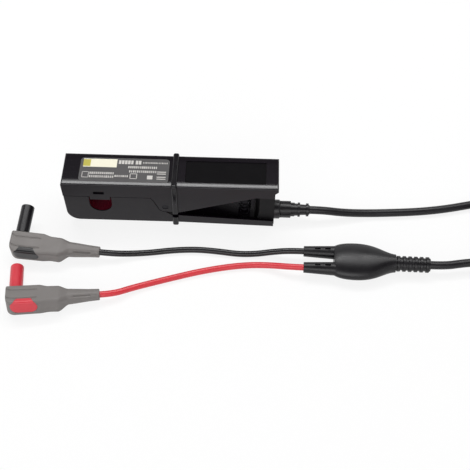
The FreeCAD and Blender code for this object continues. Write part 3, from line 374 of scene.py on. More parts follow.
# ---------------------------------------------------------------- cords
@dataclass
class Cord:
    """A free cord laid on one smooth line.

    Attributes:
        name: Piece's name.
        diameter: Outside diameter in metres.
        length: Not used.
        finish: Jacket's finish.
        far_end: Not used.
        stiffness: Not used.
        lay: Not used.
        stands_for: Nodes that it replaces.
        with_pieces: Not used.
    """

    name: str
    diameter: float
    length: float
    finish: Finish
    far_end: str
    stiffness: str
    lay: str
    stands_for: tuple[str, ...]
    with_pieces: list[bpy.types.Object]
    points: list[Point]

    def build(self) -> bpy.types.Object:
        """Returns:
            The curve object.
        """
        curve = bpy.data.curves.new(self.name, "CURVE")
        curve.dimensions = "3D"
        curve.bevel_depth = self.diameter / 2
        curve.bevel_resolution = 6
        curve.resolution_u = 8
        curve.use_fill_caps = True
        spline = curve.splines.new("NURBS")
        spline.points.add(len(self.points) - 1)
        for knot, place in zip(spline.points, self.points):
            knot.co = (*place, 1.0)
        spline.order_u = 3
        spline.use_endpoint_u = True
        piece = bpy.data.objects.new(self.name, curve)
        bpy.context.scene.collection.objects.link(piece)
        curve.materials.append(self.finish.build())
        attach(piece, HOUSING)
        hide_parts(*self.stands_for)
        LOG.info("cord %s: %d points", self.name, len(self.points))
        return piece


@dataclass
class StoredCoil:
    """The tied coil that holds the unseen part of the cable.

    Attributes:
        centre: Middle of the coil on the bench.
        slots: Radius and height of each turn, in the order that the cable takes them.
        shifts: Where each turn starts and ends its shift to the next slot, in degrees.
        entry_angle: Direction from the centre to where the cable joins the coil, in degrees.
        last_turn: Degrees of the last, partial turn.
        step: Degrees between points.
    """

    centre: tuple[float, float] = (0.222, -0.0157)
    slots: tuple[tuple[float, float], ...] = (
        (0.0314, 0.0026), (0.0264, 0.0026), (0.0214, 0.0026),
        (0.0240, 0.0071), (0.0264, 0.0114), (0.0290, 0.0071),
    )
    shifts: tuple[tuple[float, float], ...] = ((300, 360), (300, 360), (240, 300), (180, 240), (120, 180))
    entry_angle: float = 105.0
    last_turn: float = 203.0
    step: float = 20.0

    def slot_at(self, swept: float) -> tuple[float, float]:
        """Finds the radius and height after a swept angle.

        Args:
            swept: Degrees since the cable joined the coil.

        Returns:
            Radius and height in metres.
        """
        turn = min(int(swept // 360), len(self.slots) - 1)
        here = self.slots[turn]
        if turn >= len(self.shifts):
            return here
        start, end = self.shifts[turn]
        share = min(1.0, max(0.0, (swept - 360 * turn - start) / (end - start)))
        smooth = share * share * (3 - 2 * share)
        after = self.slots[turn + 1]
        rise_first = min(1.0, smooth * 1.25) if after[1] > here[1] else smooth
        return (
            here[0] + (after[0] - here[0]) * smooth,
            here[1] + (after[1] - here[1]) * rise_first,
        )

    def points(self) -> list[Point]:
        """Works out the coil's points, in the order that the cable runs.

        Returns:
            Points in metres.
        """
        total = 360 * (len(self.slots) - 1) + self.last_turn
        widen = 1 / math.cos(math.radians(self.step / 2))
        made, swept = [], self.step / 2
        while swept < total - self.step / 4:
            radius, height = self.slot_at(swept)
            turn = math.radians(self.entry_angle - swept)
            made.append(
                (
                    self.centre[0] + radius * widen * math.cos(turn),
                    self.centre[1] + radius * widen * math.sin(turn),
                    height,
                )
            )
            swept += self.step
        return made


CABLE_OUT: list[Point] = [
    (0.0848, -0.0051, 0.0084), (0.0930, -0.0051, 0.0084), (0.1060, -0.0039, 0.0050),
    (0.1210, -0.0019, 0.0026), (0.1380, -0.00085, 0.0026), (0.1540, 0.0006, 0.0026),
    (0.1690, 0.0030, 0.0026), (0.1829, 0.00634, 0.0026), (0.1945, 0.00945, 0.0026),
]
CABLE_BACK: list[Point] = [
    (0.1970, -0.0415, 0.0076), (0.1875, -0.04016, 0.0076), (0.1755, -0.0409, 0.0064),
    (0.16508, -0.04316, 0.0066), (0.156089, -0.042973, 0.0066),
]
BLACK_ROUTE: list[Point] = [
    (0.081119, -0.035501, 0.0066), (0.073125, -0.035333, 0.0066), (0.0625, -0.0344, 0.0036),
    (0.0530, -0.0351, 0.0020), (0.0420, -0.0357, 0.0020), (0.0290, -0.0340, 0.0020),
    (0.0160, -0.0331, 0.0020), (0.0020, -0.0342, 0.0020), (-0.0110, -0.0365, 0.0020),
    (-0.0225, -0.0384, 0.0030), (-0.033186, -0.040415, 0.005408), (-0.041163, -0.039913, 0.005757),
]
RED_ROUTE: list[Point] = [
    (0.080872, -0.047299, 0.0066), (0.072878, -0.047131, 0.0066), (0.0625, -0.0444, 0.0036),
    (0.0520, -0.0433, 0.0020), (0.0420, -0.0443, 0.0020), (0.0300, -0.0466, 0.0020),
    (0.0170, -0.0500, 0.0020), (0.0040, -0.0542, 0.0020), (-0.0090, -0.0586, 0.0020),
    (-0.0205, -0.0632, 0.0028), (-0.029977, -0.068843, 0.005008), (-0.037899, -0.0699, 0.005357),
]


# ---------------------------------------------------------------- mesh helpers
def new_piece(name: str, mesh: bpy.types.Mesh, finish: Finish, body: str) -> bpy.types.Object:
    """Links a finished mesh as a piece that rides on a body.

    Args:
        name: Piece's name.
        mesh: Its mesh, already in place.
        finish: Its finish.
        body: Body that it rides on.

    Returns:
        The new object.
    """
    piece = bpy.data.objects.new(name, mesh)
    bpy.context.scene.collection.objects.link(piece)
    mesh.materials.clear()
    mesh.materials.append(finish.build())
    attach(piece, body)
    LOG.info("piece %s: %d faces", name, len(mesh.polygons))
    return piece


def smooth_shade(mesh: bpy.types.Mesh, sharp_degrees: float) -> None:
    """Shades a mesh smooth, but for edges sharper than an angle."""
    mesh.polygons.foreach_set("use_smooth", [True] * len(mesh.polygons))
    mesh.set_sharp_from_angle(angle=math.radians(sharp_degrees))


def bake_modifiers(holder: bpy.types.Object, name: str) -> bpy.types.Mesh:
    """Turns an object with modifiers into a plain mesh and removes the object.

    Args:
        holder: Object whose modifiers are evaluated.
        name: New mesh's name.

    Returns:
        The plain mesh.
    """
    graph = bpy.context.evaluated_depsgraph_get()
    mesh = bpy.data.meshes.new_from_object(holder.evaluated_get(graph))
    mesh.name = name
    holder.modifiers.clear()
    bpy.data.objects.remove(holder)
    return mesh


def new_node_tree(name: str, sockets: dict[str, str]) -> bpy.types.NodeTree:
    """Starts a Geometry Nodes tree with named inputs and one geometry output.

    Args:
        name: Tree's name.
        sockets: Input name to socket type.

    Returns:
        The tree, with its group input and no output node yet.
    """
    tree = bpy.data.node_groups.new(name, "GeometryNodeTree")
    tree.interface.new_socket("Geometry", in_out="OUTPUT", socket_type="NodeSocketGeometry")
    for label, kind in sockets.items():
        tree.interface.new_socket(label, in_out="INPUT", socket_type=kind)
    return tree


def close_tree(
    tree: bpy.types.NodeTree, geometry: bpy.types.NodeSocket, finish: bpy.types.NodeSocket
) -> None:
    """Ends a tree with Realize Instances and Set Material.

    Args:
        tree: The tree.
        geometry: What it makes.
        finish: Material input's socket.
    """
    real = add(tree, "GeometryNodeRealizeInstances", {"Geometry": geometry}).outputs[0]
    painted = add(tree, "GeometryNodeSetMaterial", {"Geometry": real, "Material": finish}).outputs[0]
    add(tree, "NodeGroupOutput", {"Geometry": painted})


def grow(tree: bpy.types.NodeTree, name: str, values: dict) -> bpy.types.Mesh:
    """Runs a Geometry Nodes tree once.

    Args:
        tree: The tree.
        name: New mesh's name.
        values: Input name to value.

    Returns:
        The mesh that it makes.
    """
    holder = bpy.data.objects.new(name + "_holder", bpy.data.meshes.new(name + "_start"))
    bpy.context.scene.collection.objects.link(holder)
    modifier = holder.modifiers.new("grow", "NODES")
    modifier.node_group = tree
    for item in tree.interface.items_tree:
        if item.in_out == "INPUT" and item.name in values:
            modifier[item.identifier] = values[item.name]
    return bake_modifiers(holder, name)


def joined(name: str, meshes: list[bpy.types.Mesh]) -> bpy.types.Mesh:
    """Puts several meshes into one."""
    whole = bmesh.new()
    for mesh in meshes:
        whole.from_mesh(mesh)
    made = bpy.data.meshes.new(name)
    whole.to_mesh(made)
    whole.free()
    return made


# ---------------------------------------------------------------- label print
@dataclass(frozen=True)
class Print:
    """Equal bars in a row, in millimetres from the label's left and far edges.

    Attributes:
        left: Left edge of the first bar.
        far: Far edge of the bars.
        width: Width of one bar.
        height: Height of one bar.
        count: How many bars.
        step: Distance from one bar to the next, across or down.
        down: Whether the row runs down the label.
        ragged: Least share of the full width that a bar may have.
    """

    left: float
    far: float
    width: float
    height: float
    count: int = 1
    step: float = 0.0
    down: bool = False
    ragged: float = 1.0


@dataclass
class LabelPrint:
    """Plain bars, blocks and outlines on the label, in place of its print."""

    thickness: float = 0.04
    pale: tuple[Print, ...] = (
        Print(23.0, 1.7, 1.5, 2.9, 5, 1.85, ragged=0.7), Print(33.2, 1.7, 1.5, 2.9, 2, 1.85),
        Print(37.6, 2.7, 0.62, 1.1, 16, 0.95, ragged=0.5),
        Print(29.0, 6.1, 0.85, 1.7, 15, 1.18, ragged=0.55), Print(29.8, 9.4, 0.85, 1.7, 14, 1.2, ragged=0.55),
        Print(6.2, 11.3, 0.9, 1.7, 12, 1.25, ragged=0.6), Print(6.2, 14.0, 0.9, 1.7, 12, 1.25, ragged=0.6),
        Print(21.4, 13.4, 0.9, 1.5, 7, 1.2, ragged=0.6),
        Print(1.7, 11.2, 0.35, 4.6, 2, 3.75), Print(1.7, 11.2, 4.1, 0.35, 2, 4.25, down=True),
        Print(30.5, 11.9, 0.45, 4.2, 2, 3.95), Print(30.5, 11.9, 4.4, 0.45, 2, 3.75, down=True),
        Print(40.9, 13.2, 3.3, 2.9),
        Print(46.6, 9.9, 5.4, 0.6), Print(46.6, 11.4, 5.4, 0.6), Print(46.6, 13.9, 5.4, 0.6),
        Print(46.6, 15.4, 5.4, 0.6),
    )
    cream: tuple[Print, ...] = (
        Print(6.1, 1.0, 15.9, 6.4), Print(1.7, 1.0, 4.4, 0.5), Print(1.7, 6.9, 4.4, 0.5),
    )
    yellow: tuple[Print, ...] = (Print(1.7, 1.5, 4.4, 5.4),)

    def tree(self) -> bpy.types.NodeTree:
        """Makes the tree that prints one row of bars."""
        tree = new_node_tree(
            "print_row",
            {
                "Count": "NodeSocketInt", "Start": "NodeSocketVector", "Step": "NodeSocketVector",
                "Bar": "NodeSocketVector", "Ragged": "NodeSocketFloat", "Seed": "NodeSocketInt",
                "Ink": "NodeSocketMaterial",
            },
        )
        given = add(tree, "NodeGroupInput").outputs
        line = add(
            tree, "GeometryNodeMeshLine",
            {"Count": given["Count"], "Start Location": given["Start"], "Offset": given["Step"]},
        ).outputs[0]
        bar = add(tree, "GeometryNodeMeshCube", {"Size": given["Bar"]}).outputs[0]
        share = add(
            tree, "FunctionNodeRandomValue", {2: given["Ragged"], 3: 1.0, "Seed": given["Seed"]},
            data_type="FLOAT",
        ).outputs[1]
        scale = add(tree, "ShaderNodeCombineXYZ", {"X": share, "Y": 1.0, "Z": 1.0}).outputs[0]
        bars = add(
            tree, "GeometryNodeInstanceOnPoints", {"Points": line, "Instance": bar, "Scale": scale}
        ).outputs[0]
        close_tree(tree, bars, given["Ink"])
        return tree

    def build(self) -> None:
        """Prints the label."""
        low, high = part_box("label_plate")
        left, far, top = low[0], high[1], high[2]
        tree = self.tree()
        for name, rows, finish in (
            ("label_print_pale", self.pale, INK), ("label_print_cream", self.cream, CREAM),
            ("label_print_yellow", self.yellow, YELLOW),
        ):
            made = []
            for seed, row in enumerate(rows):
                step = (0.0, -row.step * MM, 0.0) if row.down else (row.step * MM, 0.0, 0.0)
                start = (
                    left + (row.left + row.width / 2) * MM, far - (row.far + row.height / 2) * MM,
                    top + self.thickness * MM / 2,
                )
                values = {
                    "Count": row.count, "Start": start, "Step": step, "Ragged": row.ragged, "Seed": seed,
                    "Bar": (row.width * MM, row.height * MM, self.thickness * MM), "Ink": finish.build(),
                }
                made.append(grow(tree, f"{name}_{seed}", values))
            piece = new_piece(name, joined(name, made), finish, HOUSING)


# ---------------------------------------------------------------- plugs
def eased(keys: tuple[tuple[float, float], ...], at: float) -> float:
    """Reads a value off a table of (place, value) keys, with soft turns at the keys."""
    for (a, low), (b, high) in zip(keys, keys[1:]):
        if at <= b:
            share = max(0.0, (at - a) / (b - a))
            return low + (high - low) * (0.45 * share + 0.55 * share * share * (3 - 2 * share))
    return keys[-1][1]


@dataclass(frozen=True)
class PlugPlace:
    """Where one plug lies: head end in metres, and its turns in degrees."""

    colour: str
    head: Point
    yaw: float
    pitch: float
    roll: float

    def matrix(self) -> Matrix:
        """Works out the turn and shift from the plug's own frame, in millimetres."""
        turn = (
            Matrix.Rotation(math.radians(self.yaw), 4, "Z")
            @ Matrix.Rotation(math.radians(self.pitch), 4, "Y")
            @ Matrix.Rotation(math.radians(self.roll), 4, "X")
        )
        return Matrix.Translation(Vector(self.head)) @ turn @ Matrix.Scale(MM, 4)


@dataclass
class PlugMoulding:
    """The grey body of a right-angle plug, in millimetres along its own axis.

    Attributes:
        place: Where the plug lies.
    """

    place: PlugPlace
    length: float = 53.5
    end_round: float = 0.9
    back_corner: float = 5.0
    head_end: float = 18.3
    front: tuple[tuple[float, float], ...] = (
        (0.0, 6.2), (19.0, 6.2), (24.0, 4.9), (29.5, 4.8), (35.6, 3.85), (53.5, 3.15),
    )
    back: tuple[tuple[float, float], ...] = (
        (0.0, 8.0), (19.0, 8.0), (24.5, 7.4), (29.5, 7.7), (35.6, 4.5), (53.5, 3.15),
    )
    half: tuple[tuple[float, float], ...] = (
        (0.0, 5.5), (23.0, 5.4), (30.0, 5.4), (35.6, 4.15), (53.5, 3.15),
    )
    corner: tuple[tuple[float, float], ...] = (
        (0.0, 1.3), (19.0, 1.5), (30.0, 1.9), (35.6, 3.2), (53.5, 2.9),
    )
    groove_offset: float = 3.1
    groove_half: float = 0.62
    groove_depth: float = 0.5
    slot_span: tuple[float, float] = (38.0, 48.5)
    slot_half: float = 0.75
    slot_depth: float = 0.65
    insert_middle: float = 10.4
    insert_half_length: float = 7.85
    insert_half_width: float = 4.4
    insert_tilt: float = 12.0
    insert_floor: float = 5.0
    insert_gap: float = 0.12
    socket_from_end: float = 5.2
    socket_radius: float = 3.42
    socket_depth: float = 3.6

    def stations(self) -> list[tuple[float, float]]:
        """Lists the places along the axis, each with how far the outline is drawn in there."""
        made = []
        for i in range(6):
            turn = math.radians(18 * i)
            made.append((self.end_round * (1 - math.sin(turn)), self.end_round * (1 - math.cos(turn))))
        made = [(u, inset) for u, inset in reversed(made)]
        count = 110
        for i in range(1, count):
            made.append((self.end_round + (self.length - 0.4 - self.end_round) * i / count, 0.0))
        made += [(self.length - 0.4, 0.0), (self.length - 0.12, 0.12), (self.length, 0.4)]
        return made

    def ring(self, along: float, inset: float) -> list[Vector]:
        """Works out one outline: four flats and four rounds, with the grooves and slots pressed in.

        Args:
            along: Place along the plug.
            inset: How far the outline is drawn in.

        Returns:
            The outline's points.
        """
        front = eased(self.front, along) - inset
        back = eased(self.back, along) - inset
        half = eased(self.half, along) - inset
        if along < self.back_corner:
            reach = self.back_corner - along
            back -= self.back_corner - math.sqrt(max(0.0, self.back_corner**2 - reach**2))
        back = max(back, 0.5)
        middle, wide = (front - back) / 2, (front + back) / 2
        round_off = min(eased(self.corner, along), 0.86 * min(wide, half))
        points = []
        long_steps, short_steps, round_steps = 44, 18, 12
        centres = (
            (middle + wide - round_off, half - round_off, 0),
            (middle - wide + round_off, half - round_off, 90),
            (middle - wide + round_off, round_off - half, 180),
            (middle + wide - round_off, round_off - half, 270),
        )
        flats = (long_steps, short_steps, long_steps, short_steps)
        for side, (y, z, start) in enumerate(centres):
            for i in range(round_steps):
                share = i / round_steps
                turn = math.radians(start + 90 * share)
                reach = round_off - self.slot(along, (share - 0.5) * round_off * math.pi / 2)
                points.append(Vector((along, y + reach * math.cos(turn), z + reach * math.sin(turn))))
            after = centres[(side + 1) % 4]
            turn = math.radians(start + 90)
            for i in range(flats[side]):
                share = i / flats[side]
                there_y = y + (after[0] - y) * share + round_off * math.cos(turn)
                there_z = z + (after[1] - z) * share + round_off * math.sin(turn)
                if side in (0, 2):
                    there_z -= math.copysign(self.groove(along, there_y - middle), there_z)
                points.append(Vector((along, there_y, there_z)))
        return points

    def groove(self, along: float, across: float) -> float:
        """Depth of the two finger grooves at a place on a flat face."""
        away = abs(abs(across) - self.groove_offset)
        past = max(0.0, along - self.head_end + self.groove_half)
        share = min(1.0, math.hypot(away, past) / self.groove_half)
        return self.groove_depth * (1 - share**3) ** 2

    def slot(self, along: float, across: float) -> float:
        """Depth of the tail's corner slots at a place on a round."""
        low, high = self.slot_span
        past = max(0.0, low + self.slot_half - along, along - high + self.slot_half)
        share = min(1.0, math.hypot(across, past) / self.slot_half)
        return self.slot_depth * (1 - share**3) ** 2

    def body_mesh(self) -> bpy.types.Mesh:
        """Joins the outlines into a closed skin."""
        rings = [self.ring(*station) for station in self.stations()]
        around = len(rings[0])
        faces = [
            (
                r * around + i, r * around + (i + 1) % around,
                (r + 1) * around + (i + 1) % around, (r + 1) * around + i,
            )
            for r in range(len(rings) - 1) for i in range(around)
        ]
        faces.append(tuple(reversed(range(around))))
        faces.append(tuple((len(rings) - 1) * around + i for i in range(around)))
        mesh = bpy.data.meshes.new("plug_skin")
        mesh.from_pydata([tuple(p) for ring in rings for p in ring], [], faces)
        self.face_outwards(mesh)
        return mesh

    def face_outwards(self, mesh: bpy.types.Mesh) -> None:
        """Merges doubled points and turns every face outwards."""
        work = bmesh.new()
        work.from_mesh(mesh)
        bmesh.ops.remove_doubles(work, verts=work.verts, dist=0.0005)
        bmesh.ops.recalc_face_normals(work, faces=work.faces)
        work.to_mesh(mesh)
        work.free()

    def cutter(
        self, name: str, outline: list[tuple[float, float]], low: float, high: float
    ) -> bpy.types.Object:
        """Makes a prism along the contact's direction, which a boolean takes away.

        Args:
            name: Object's name.
            outline: Points along the plug and across it.
            low: Where the prism starts.
            high: Where it ends.

        Returns:
            The prism's object.
        """
        count = len(outline)
        points = [(u, low, z) for u, z in outline] + [(u, high, z) for u, z in outline]
        faces = [tuple(range(count)), tuple(reversed(range(count, 2 * count)))]
        faces += [(i, i + count, (i + 1) % count + count, (i + 1) % count) for i in range(count)]
        mesh = bpy.data.meshes.new(name)
        mesh.from_pydata(points, [], faces)
        self.face_outwards(mesh)
        tool = bpy.data.objects.new(name, mesh)
        bpy.context.scene.collection.objects.link(tool)
        return tool

    def oval_cutter(self, name: str, gap: float) -> bpy.types.Object:
        """Makes the oval prism of the inlay, tilted so that it runs over the upper back edge.

        Args:
            name: Object's name.
            gap: How much smaller the prism is all round.

        Returns:
            The prism's object.
        """
        half = self.insert_half_width - gap
        straight = self.insert_half_length - self.insert_half_width
        oval = [
            (
                self.insert_middle + math.copysign(straight, math.cos(turn)) + half * math.cos(turn),
                half * math.sin(turn),
            )
            for turn in (math.tau * (i + 0.5) / 48 for i in range(48))
        ]
        tool = self.cutter(name, oval, -self.back[0][1] - 6.0, -self.insert_floor - gap)
        tool.data.transform(Matrix.Rotation(math.radians(-self.insert_tilt), 4, "X"))
        return tool

    def combine(
        self, name: str, tools: list[bpy.types.Object], operation: str, finish: Finish, node: str
    ) -> bpy.types.Object:
        """Cuts the skin with some prisms and puts the result in place.

        Args:
            name: Piece's name.
            tools: Prisms, which are removed.
            operation: What the boolean does.
            finish: Piece's finish.
            node: Node that it stands for.

        Returns:
            The finished piece.
        """
        holder = bpy.data.objects.new(name + "_holder", self.body_mesh())
        bpy.context.scene.collection.objects.link(holder)
        for tool in tools:
            cut = holder.modifiers.new(tool.name, "BOOLEAN")
            cut.object, cut.operation, cut.solver = tool, operation, "EXACT"
        mesh = bake_modifiers(holder, name)
        for tool in tools:
            bpy.data.objects.remove(tool)
        mesh.transform(self.place.matrix())
        smooth_shade(mesh, MOULDED_EDGE)
        piece = new_piece(name, mesh, finish, HOUSING)
        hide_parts(node)
        return piece

    def build(self, finish: Finish) -> list[bpy.types.Object]:
        """Makes the moulding with its recess and its socket, and the inlay.

        Args:
            finish: Inlay's finish.

        Returns:
            The moulding and the inlay.
        """
        colour = self.place.colour
        name = f"{colour}_plug_moulding"
        socket = [
            (
                self.socket_from_end + self.socket_radius * math.cos(math.tau * i / 48),
                self.socket_radius * math.sin(math.tau * i / 48),
            )
            for i in range(48)
        ]
        front = self.front[0][1]
        tools = [
            self.oval_cutter(name + "_oval", 0.0),
            self.cutter(name + "_socket", socket, front - self.socket_depth, front + 2.0),
        ]
        inlay = [self.oval_cutter(f"{colour}_inlay_oval", self.insert_gap)]
        return [
            self.combine(name, tools, "DIFFERENCE", PLUG_GREY, f"{colour}_plug_body"),
            self.combine(
                f"{colour}_plug_inlay", inlay, "INTERSECT", finish, f"{colour}_plug_insert"
            ),
        ]


PLUGS = (
    PlugPlace("black", (-0.094507, -0.036557, 0.008091), -3.6, 2.5, 10.0),
    PlugPlace("red", (-0.090879, -0.076969, 0.007691), 7.6, 2.5, -8.0),
)


# ---------------------------------------------------------------- splitter
@dataclass
class SplitterBoot:
    """The ribbed sleeve on the single-cable end of the splitter.

    Attributes:
        end: Middle between the outlets, in metres.
        tilt: Turn about the upright, in degrees.
        start: From the outlets' end to the sleeve, in millimetres.
    """

    end: Point = (0.081, -0.0414, 0.0066)
    tilt: float = -1.2
    start: float = 54.6
    length: float = 20.5
    ribs: int = 6
    rib_radius: float = 4.7
    core_radius: float = 3.9
    rib_share: float = 0.6
    rib_round: float = 0.35

    def tree(self) -> bpy.types.NodeTree:
        """Makes the tree that strings rounded ribs on a core."""
        tree = new_node_tree(
            "ribbed_sleeve",
            {
                "Ribs": "NodeSocketInt", "Length": "NodeSocketFloat", "Rib Radius": "NodeSocketFloat",
                "Core Radius": "NodeSocketFloat", "Rib Width": "NodeSocketFloat", "Round": "NodeSocketFloat",
                "Place": "NodeSocketVector", "Turn": "NodeSocketVector", "Finish": "NodeSocketMaterial",
            },
        )
        given = add(tree, "NodeGroupInput").outputs
        pitch = add(
            tree, "ShaderNodeMath", {0: given["Length"], 1: given["Ribs"]}, operation="DIVIDE"
        ).outputs[0]
        half = add(tree, "ShaderNodeMath", {0: pitch, 1: 0.5}, operation="MULTIPLY").outputs[0]
        first = add(tree, "ShaderNodeCombineXYZ", {"Z": half}).outputs[0]
        step = add(tree, "ShaderNodeCombineXYZ", {"Z": pitch}).outputs[0]
        line = add(
            tree, "GeometryNodeMeshLine", {"Count": given["Ribs"], "Start Location": first, "Offset": step}
        ).outputs[0]
        depth = add(
            tree, "ShaderNodeMath", {0: given["Rib Radius"], 1: given["Core Radius"]}, operation="SUBTRACT"
        ).outputs[0]
        deep = add(tree, "ShaderNodeMath", {0: depth, 1: 1.5}, operation="MULTIPLY").outputs[0]
        overlap = add(tree, "ShaderNodeMath", {0: deep, 1: 0.5}, operation="MULTIPLY").outputs[0]
        middle = add(
            tree, "ShaderNodeMath", {0: given["Rib Radius"], 1: overlap}, operation="SUBTRACT"
        ).outputs[0]
        hoop = add(tree, "GeometryNodeCurvePrimitiveCircle", {"Resolution": 64, "Radius": middle}).outputs[0]
        section = add(
            tree, "GeometryNodeCurvePrimitiveQuadrilateral", {"Width": deep, "Height": given["Rib Width"]}
        ).outputs[0]
        section = add(
            tree, "GeometryNodeFilletCurve", {"Curve": section, "Count": 4, "Radius": given["Round"]},
            mode="POLY",
        ).outputs[0]
        rib = add(
            tree, "GeometryNodeCurveToMesh", {"Curve": hoop, "Profile Curve": section}
        ).outputs[0]
        ribs = add(tree, "GeometryNodeInstanceOnPoints", {"Points": line, "Instance": rib}).outputs[0]
        core = add(
            tree, "GeometryNodeMeshCylinder",
            {"Vertices": 64, "Radius": given["Core Radius"], "Depth": given["Length"]},
        ).outputs[0]
        to_middle = add(
            tree, "ShaderNodeMath", {0: given["Length"], 1: 0.5}, operation="MULTIPLY"
        ).outputs[0]
        shift = add(tree, "ShaderNodeCombineXYZ", {"Z": to_middle}).outputs[0]
        core = add(tree, "GeometryNodeTransform", {"Geometry": core, "Translation": shift}).outputs[0]
        both = add(tree, "GeometryNodeJoinGeometry", {"Geometry": core})
        tree.links.new(ribs, both.inputs[0])
        turn = add(tree, "FunctionNodeEulerToRotation", {0: given["Turn"]}).outputs[0]
        placed = add(
            tree, "GeometryNodeTransform",
            {"Geometry": both.outputs[0], "Translation": given["Place"], "Rotation": turn},
        ).outputs[0]
        close_tree(tree, placed, given["Finish"])
        return tree

    def build(self) -> bpy.types.Object:
        """Makes the sleeve.

        Returns:
            The finished piece.
        """
        tilt = math.radians(self.tilt)
        place = (
            self.end[0] + self.start * MM * math.cos(tilt), self.end[1] + self.start * MM * math.sin(tilt),
            self.end[2],
        )
        mesh = grow(
            self.tree(), "splitter_sleeve",
            {
                "Ribs": self.ribs, "Length": self.length * MM, "Rib Radius": self.rib_radius * MM,
                "Core Radius": self.core_radius * MM,
                "Rib Width": self.length / self.ribs * self.rib_share * MM,
                "Round": self.rib_round * MM, "Place": place, "Turn": (0.0, math.pi / 2, tilt),
                "Finish": BOOT_PVC.build(),
            },
        )
        smooth_shade(mesh, 40)
        piece = new_piece("splitter_sleeve", mesh, BOOT_PVC, HOUSING)
        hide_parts("splitter_boot")
        return piece


@dataclass
class Leads:
    """The output cable, the splitter and the two leads with their plugs."""

    cable_diameter: float = 0.005
    lead_diameter: float = 0.0038
    cable_length: float = 1.12
    lead_length: float = 0.125

    def build(self) -> None:
        """Lays the cords and dresses the pieces on them."""
        on_cable = [dress(node, BOOT_PVC) for node in ("splitter_body", "strain_relief")]
        on_cable += [dress("cable_inlet", CABLE_PVC), dress("coil_tie", TIE), SplitterBoot().build()]
        Cord(
            "main_cable", self.cable_diameter, self.cable_length, CABLE_PVC, "fitting", "medium",
            "coiled", ("main_cable_out", "main_cable_coil", "main_cable_back"), on_cable,
            CABLE_OUT + StoredCoil().points() + CABLE_BACK,
        ).build()
        for place, finish, jacket, route in (
            (PLUGS[0], PLUG_BLACK, LEAD_BLACK, BLACK_ROUTE), (PLUGS[1], PLUG_RED, LEAD_RED, RED_ROUTE),
        ):
            colour = place.colour
            on_lead = [
                *PlugMoulding(place).build(finish), dress(f"{colour}_plug_shroud", finish),
                dress(f"{colour}_plug_contact", NICKEL),
            ]
            Cord(
                f"lead_{colour}", self.lead_diameter, self.lead_length, jacket, "plug", "limp", "loose",
                (f"{colour}_lead",), on_lead, route,
            ).build()


# ---------------------------------------------------------------- clamp
@dataclass
class ReturnSpring:
    """The compression spring, made from its node as one plain piece.

    Attributes:
        end_ring: Not used.
        merge: Distance under which doubled points become one, in metres.
    """

    end_ring: float = 0.0009
    merge: float = 0.000001

    def build(self) -> bpy.types.Object:
        """Makes the spring's coil from its node.

        Returns:
            The finished piece.
        """
        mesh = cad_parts["return_spring"].data.copy()
        mesh.name = "spring_coil"
        work = bmesh.new()
        work.from_mesh(mesh)
        bmesh.ops.remove_doubles(work, verts=work.verts, dist=self.merge)
        work.to_mesh(mesh)
        work.free()
        mesh.materials.clear()
        mesh.materials.append(BLACK_OXIDE.build())
        piece = bpy.data.objects.new("spring_coil", mesh)
        bpy.context.scene.collection.objects.link(piece)
        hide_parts("return_spring")
        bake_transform(piece)
        LOG.info("piece spring_coil: %d faces", len(mesh.polygons))
        return piece


@dataclass
class Clamp:
    """The clamp's rigid pieces, which all come from the frame."""

    finishes: dict[str, Finish] = field(
        default_factory=lambda: {
            "upper_housing": BODY_ABS, "jaw_lever": BODY_ABS, "tail_block": PLATE_ABS,
            "upper_guard": GUARD_ABS, "lower_guard": GUARD_ABS, "upper_jaw_plate": PLATE_ABS,
            "jaw_cover_front": PLATE_ABS, "jaw_cover_rear": PLATE_ABS, "electronics_screen": PLATE_ABS,
            "label_plate": LABEL_FILM, "grip_pad": GRIP_TPE, "fixed_core": CORE_STEEL,
            "moving_core": CORE_STEEL, "core_pads": FOAM, "core_pad_lower": FOAM,
            "coil_bobbin": NYLON_NATURAL, "coil_winding": ENAMELLED_COPPER, "coil_wires": WIRE_PVC,
            "output_wires": WIRE_PVC, "circuit_board": BOARD, "rectifier": EPOXY,
            "filter_capacitor": EPOXY, "burden_resistor": LACQUER, "calibration_trimmer": TRIMMER,
            "screen_screws": ZINC, "board_screws": ZINC, "block_screw": ZINC, "pivot_pin": BLACK_OXIDE,
            "pivot_bush": BRASS, "jaw_liner": SHADED_LINER_PC,
            "cable_clamp": PLATE_ABS,
        }
    )

    def build(self) -> None:
        """Dresses every piece of the clamp."""
        for node, finish in self.finishes.items():
            dress(node, finish)
        LabelPrint().build()
        ReturnSpring().build()
        LOG.info("clamp: %d pieces dressed", len(self.finishes))


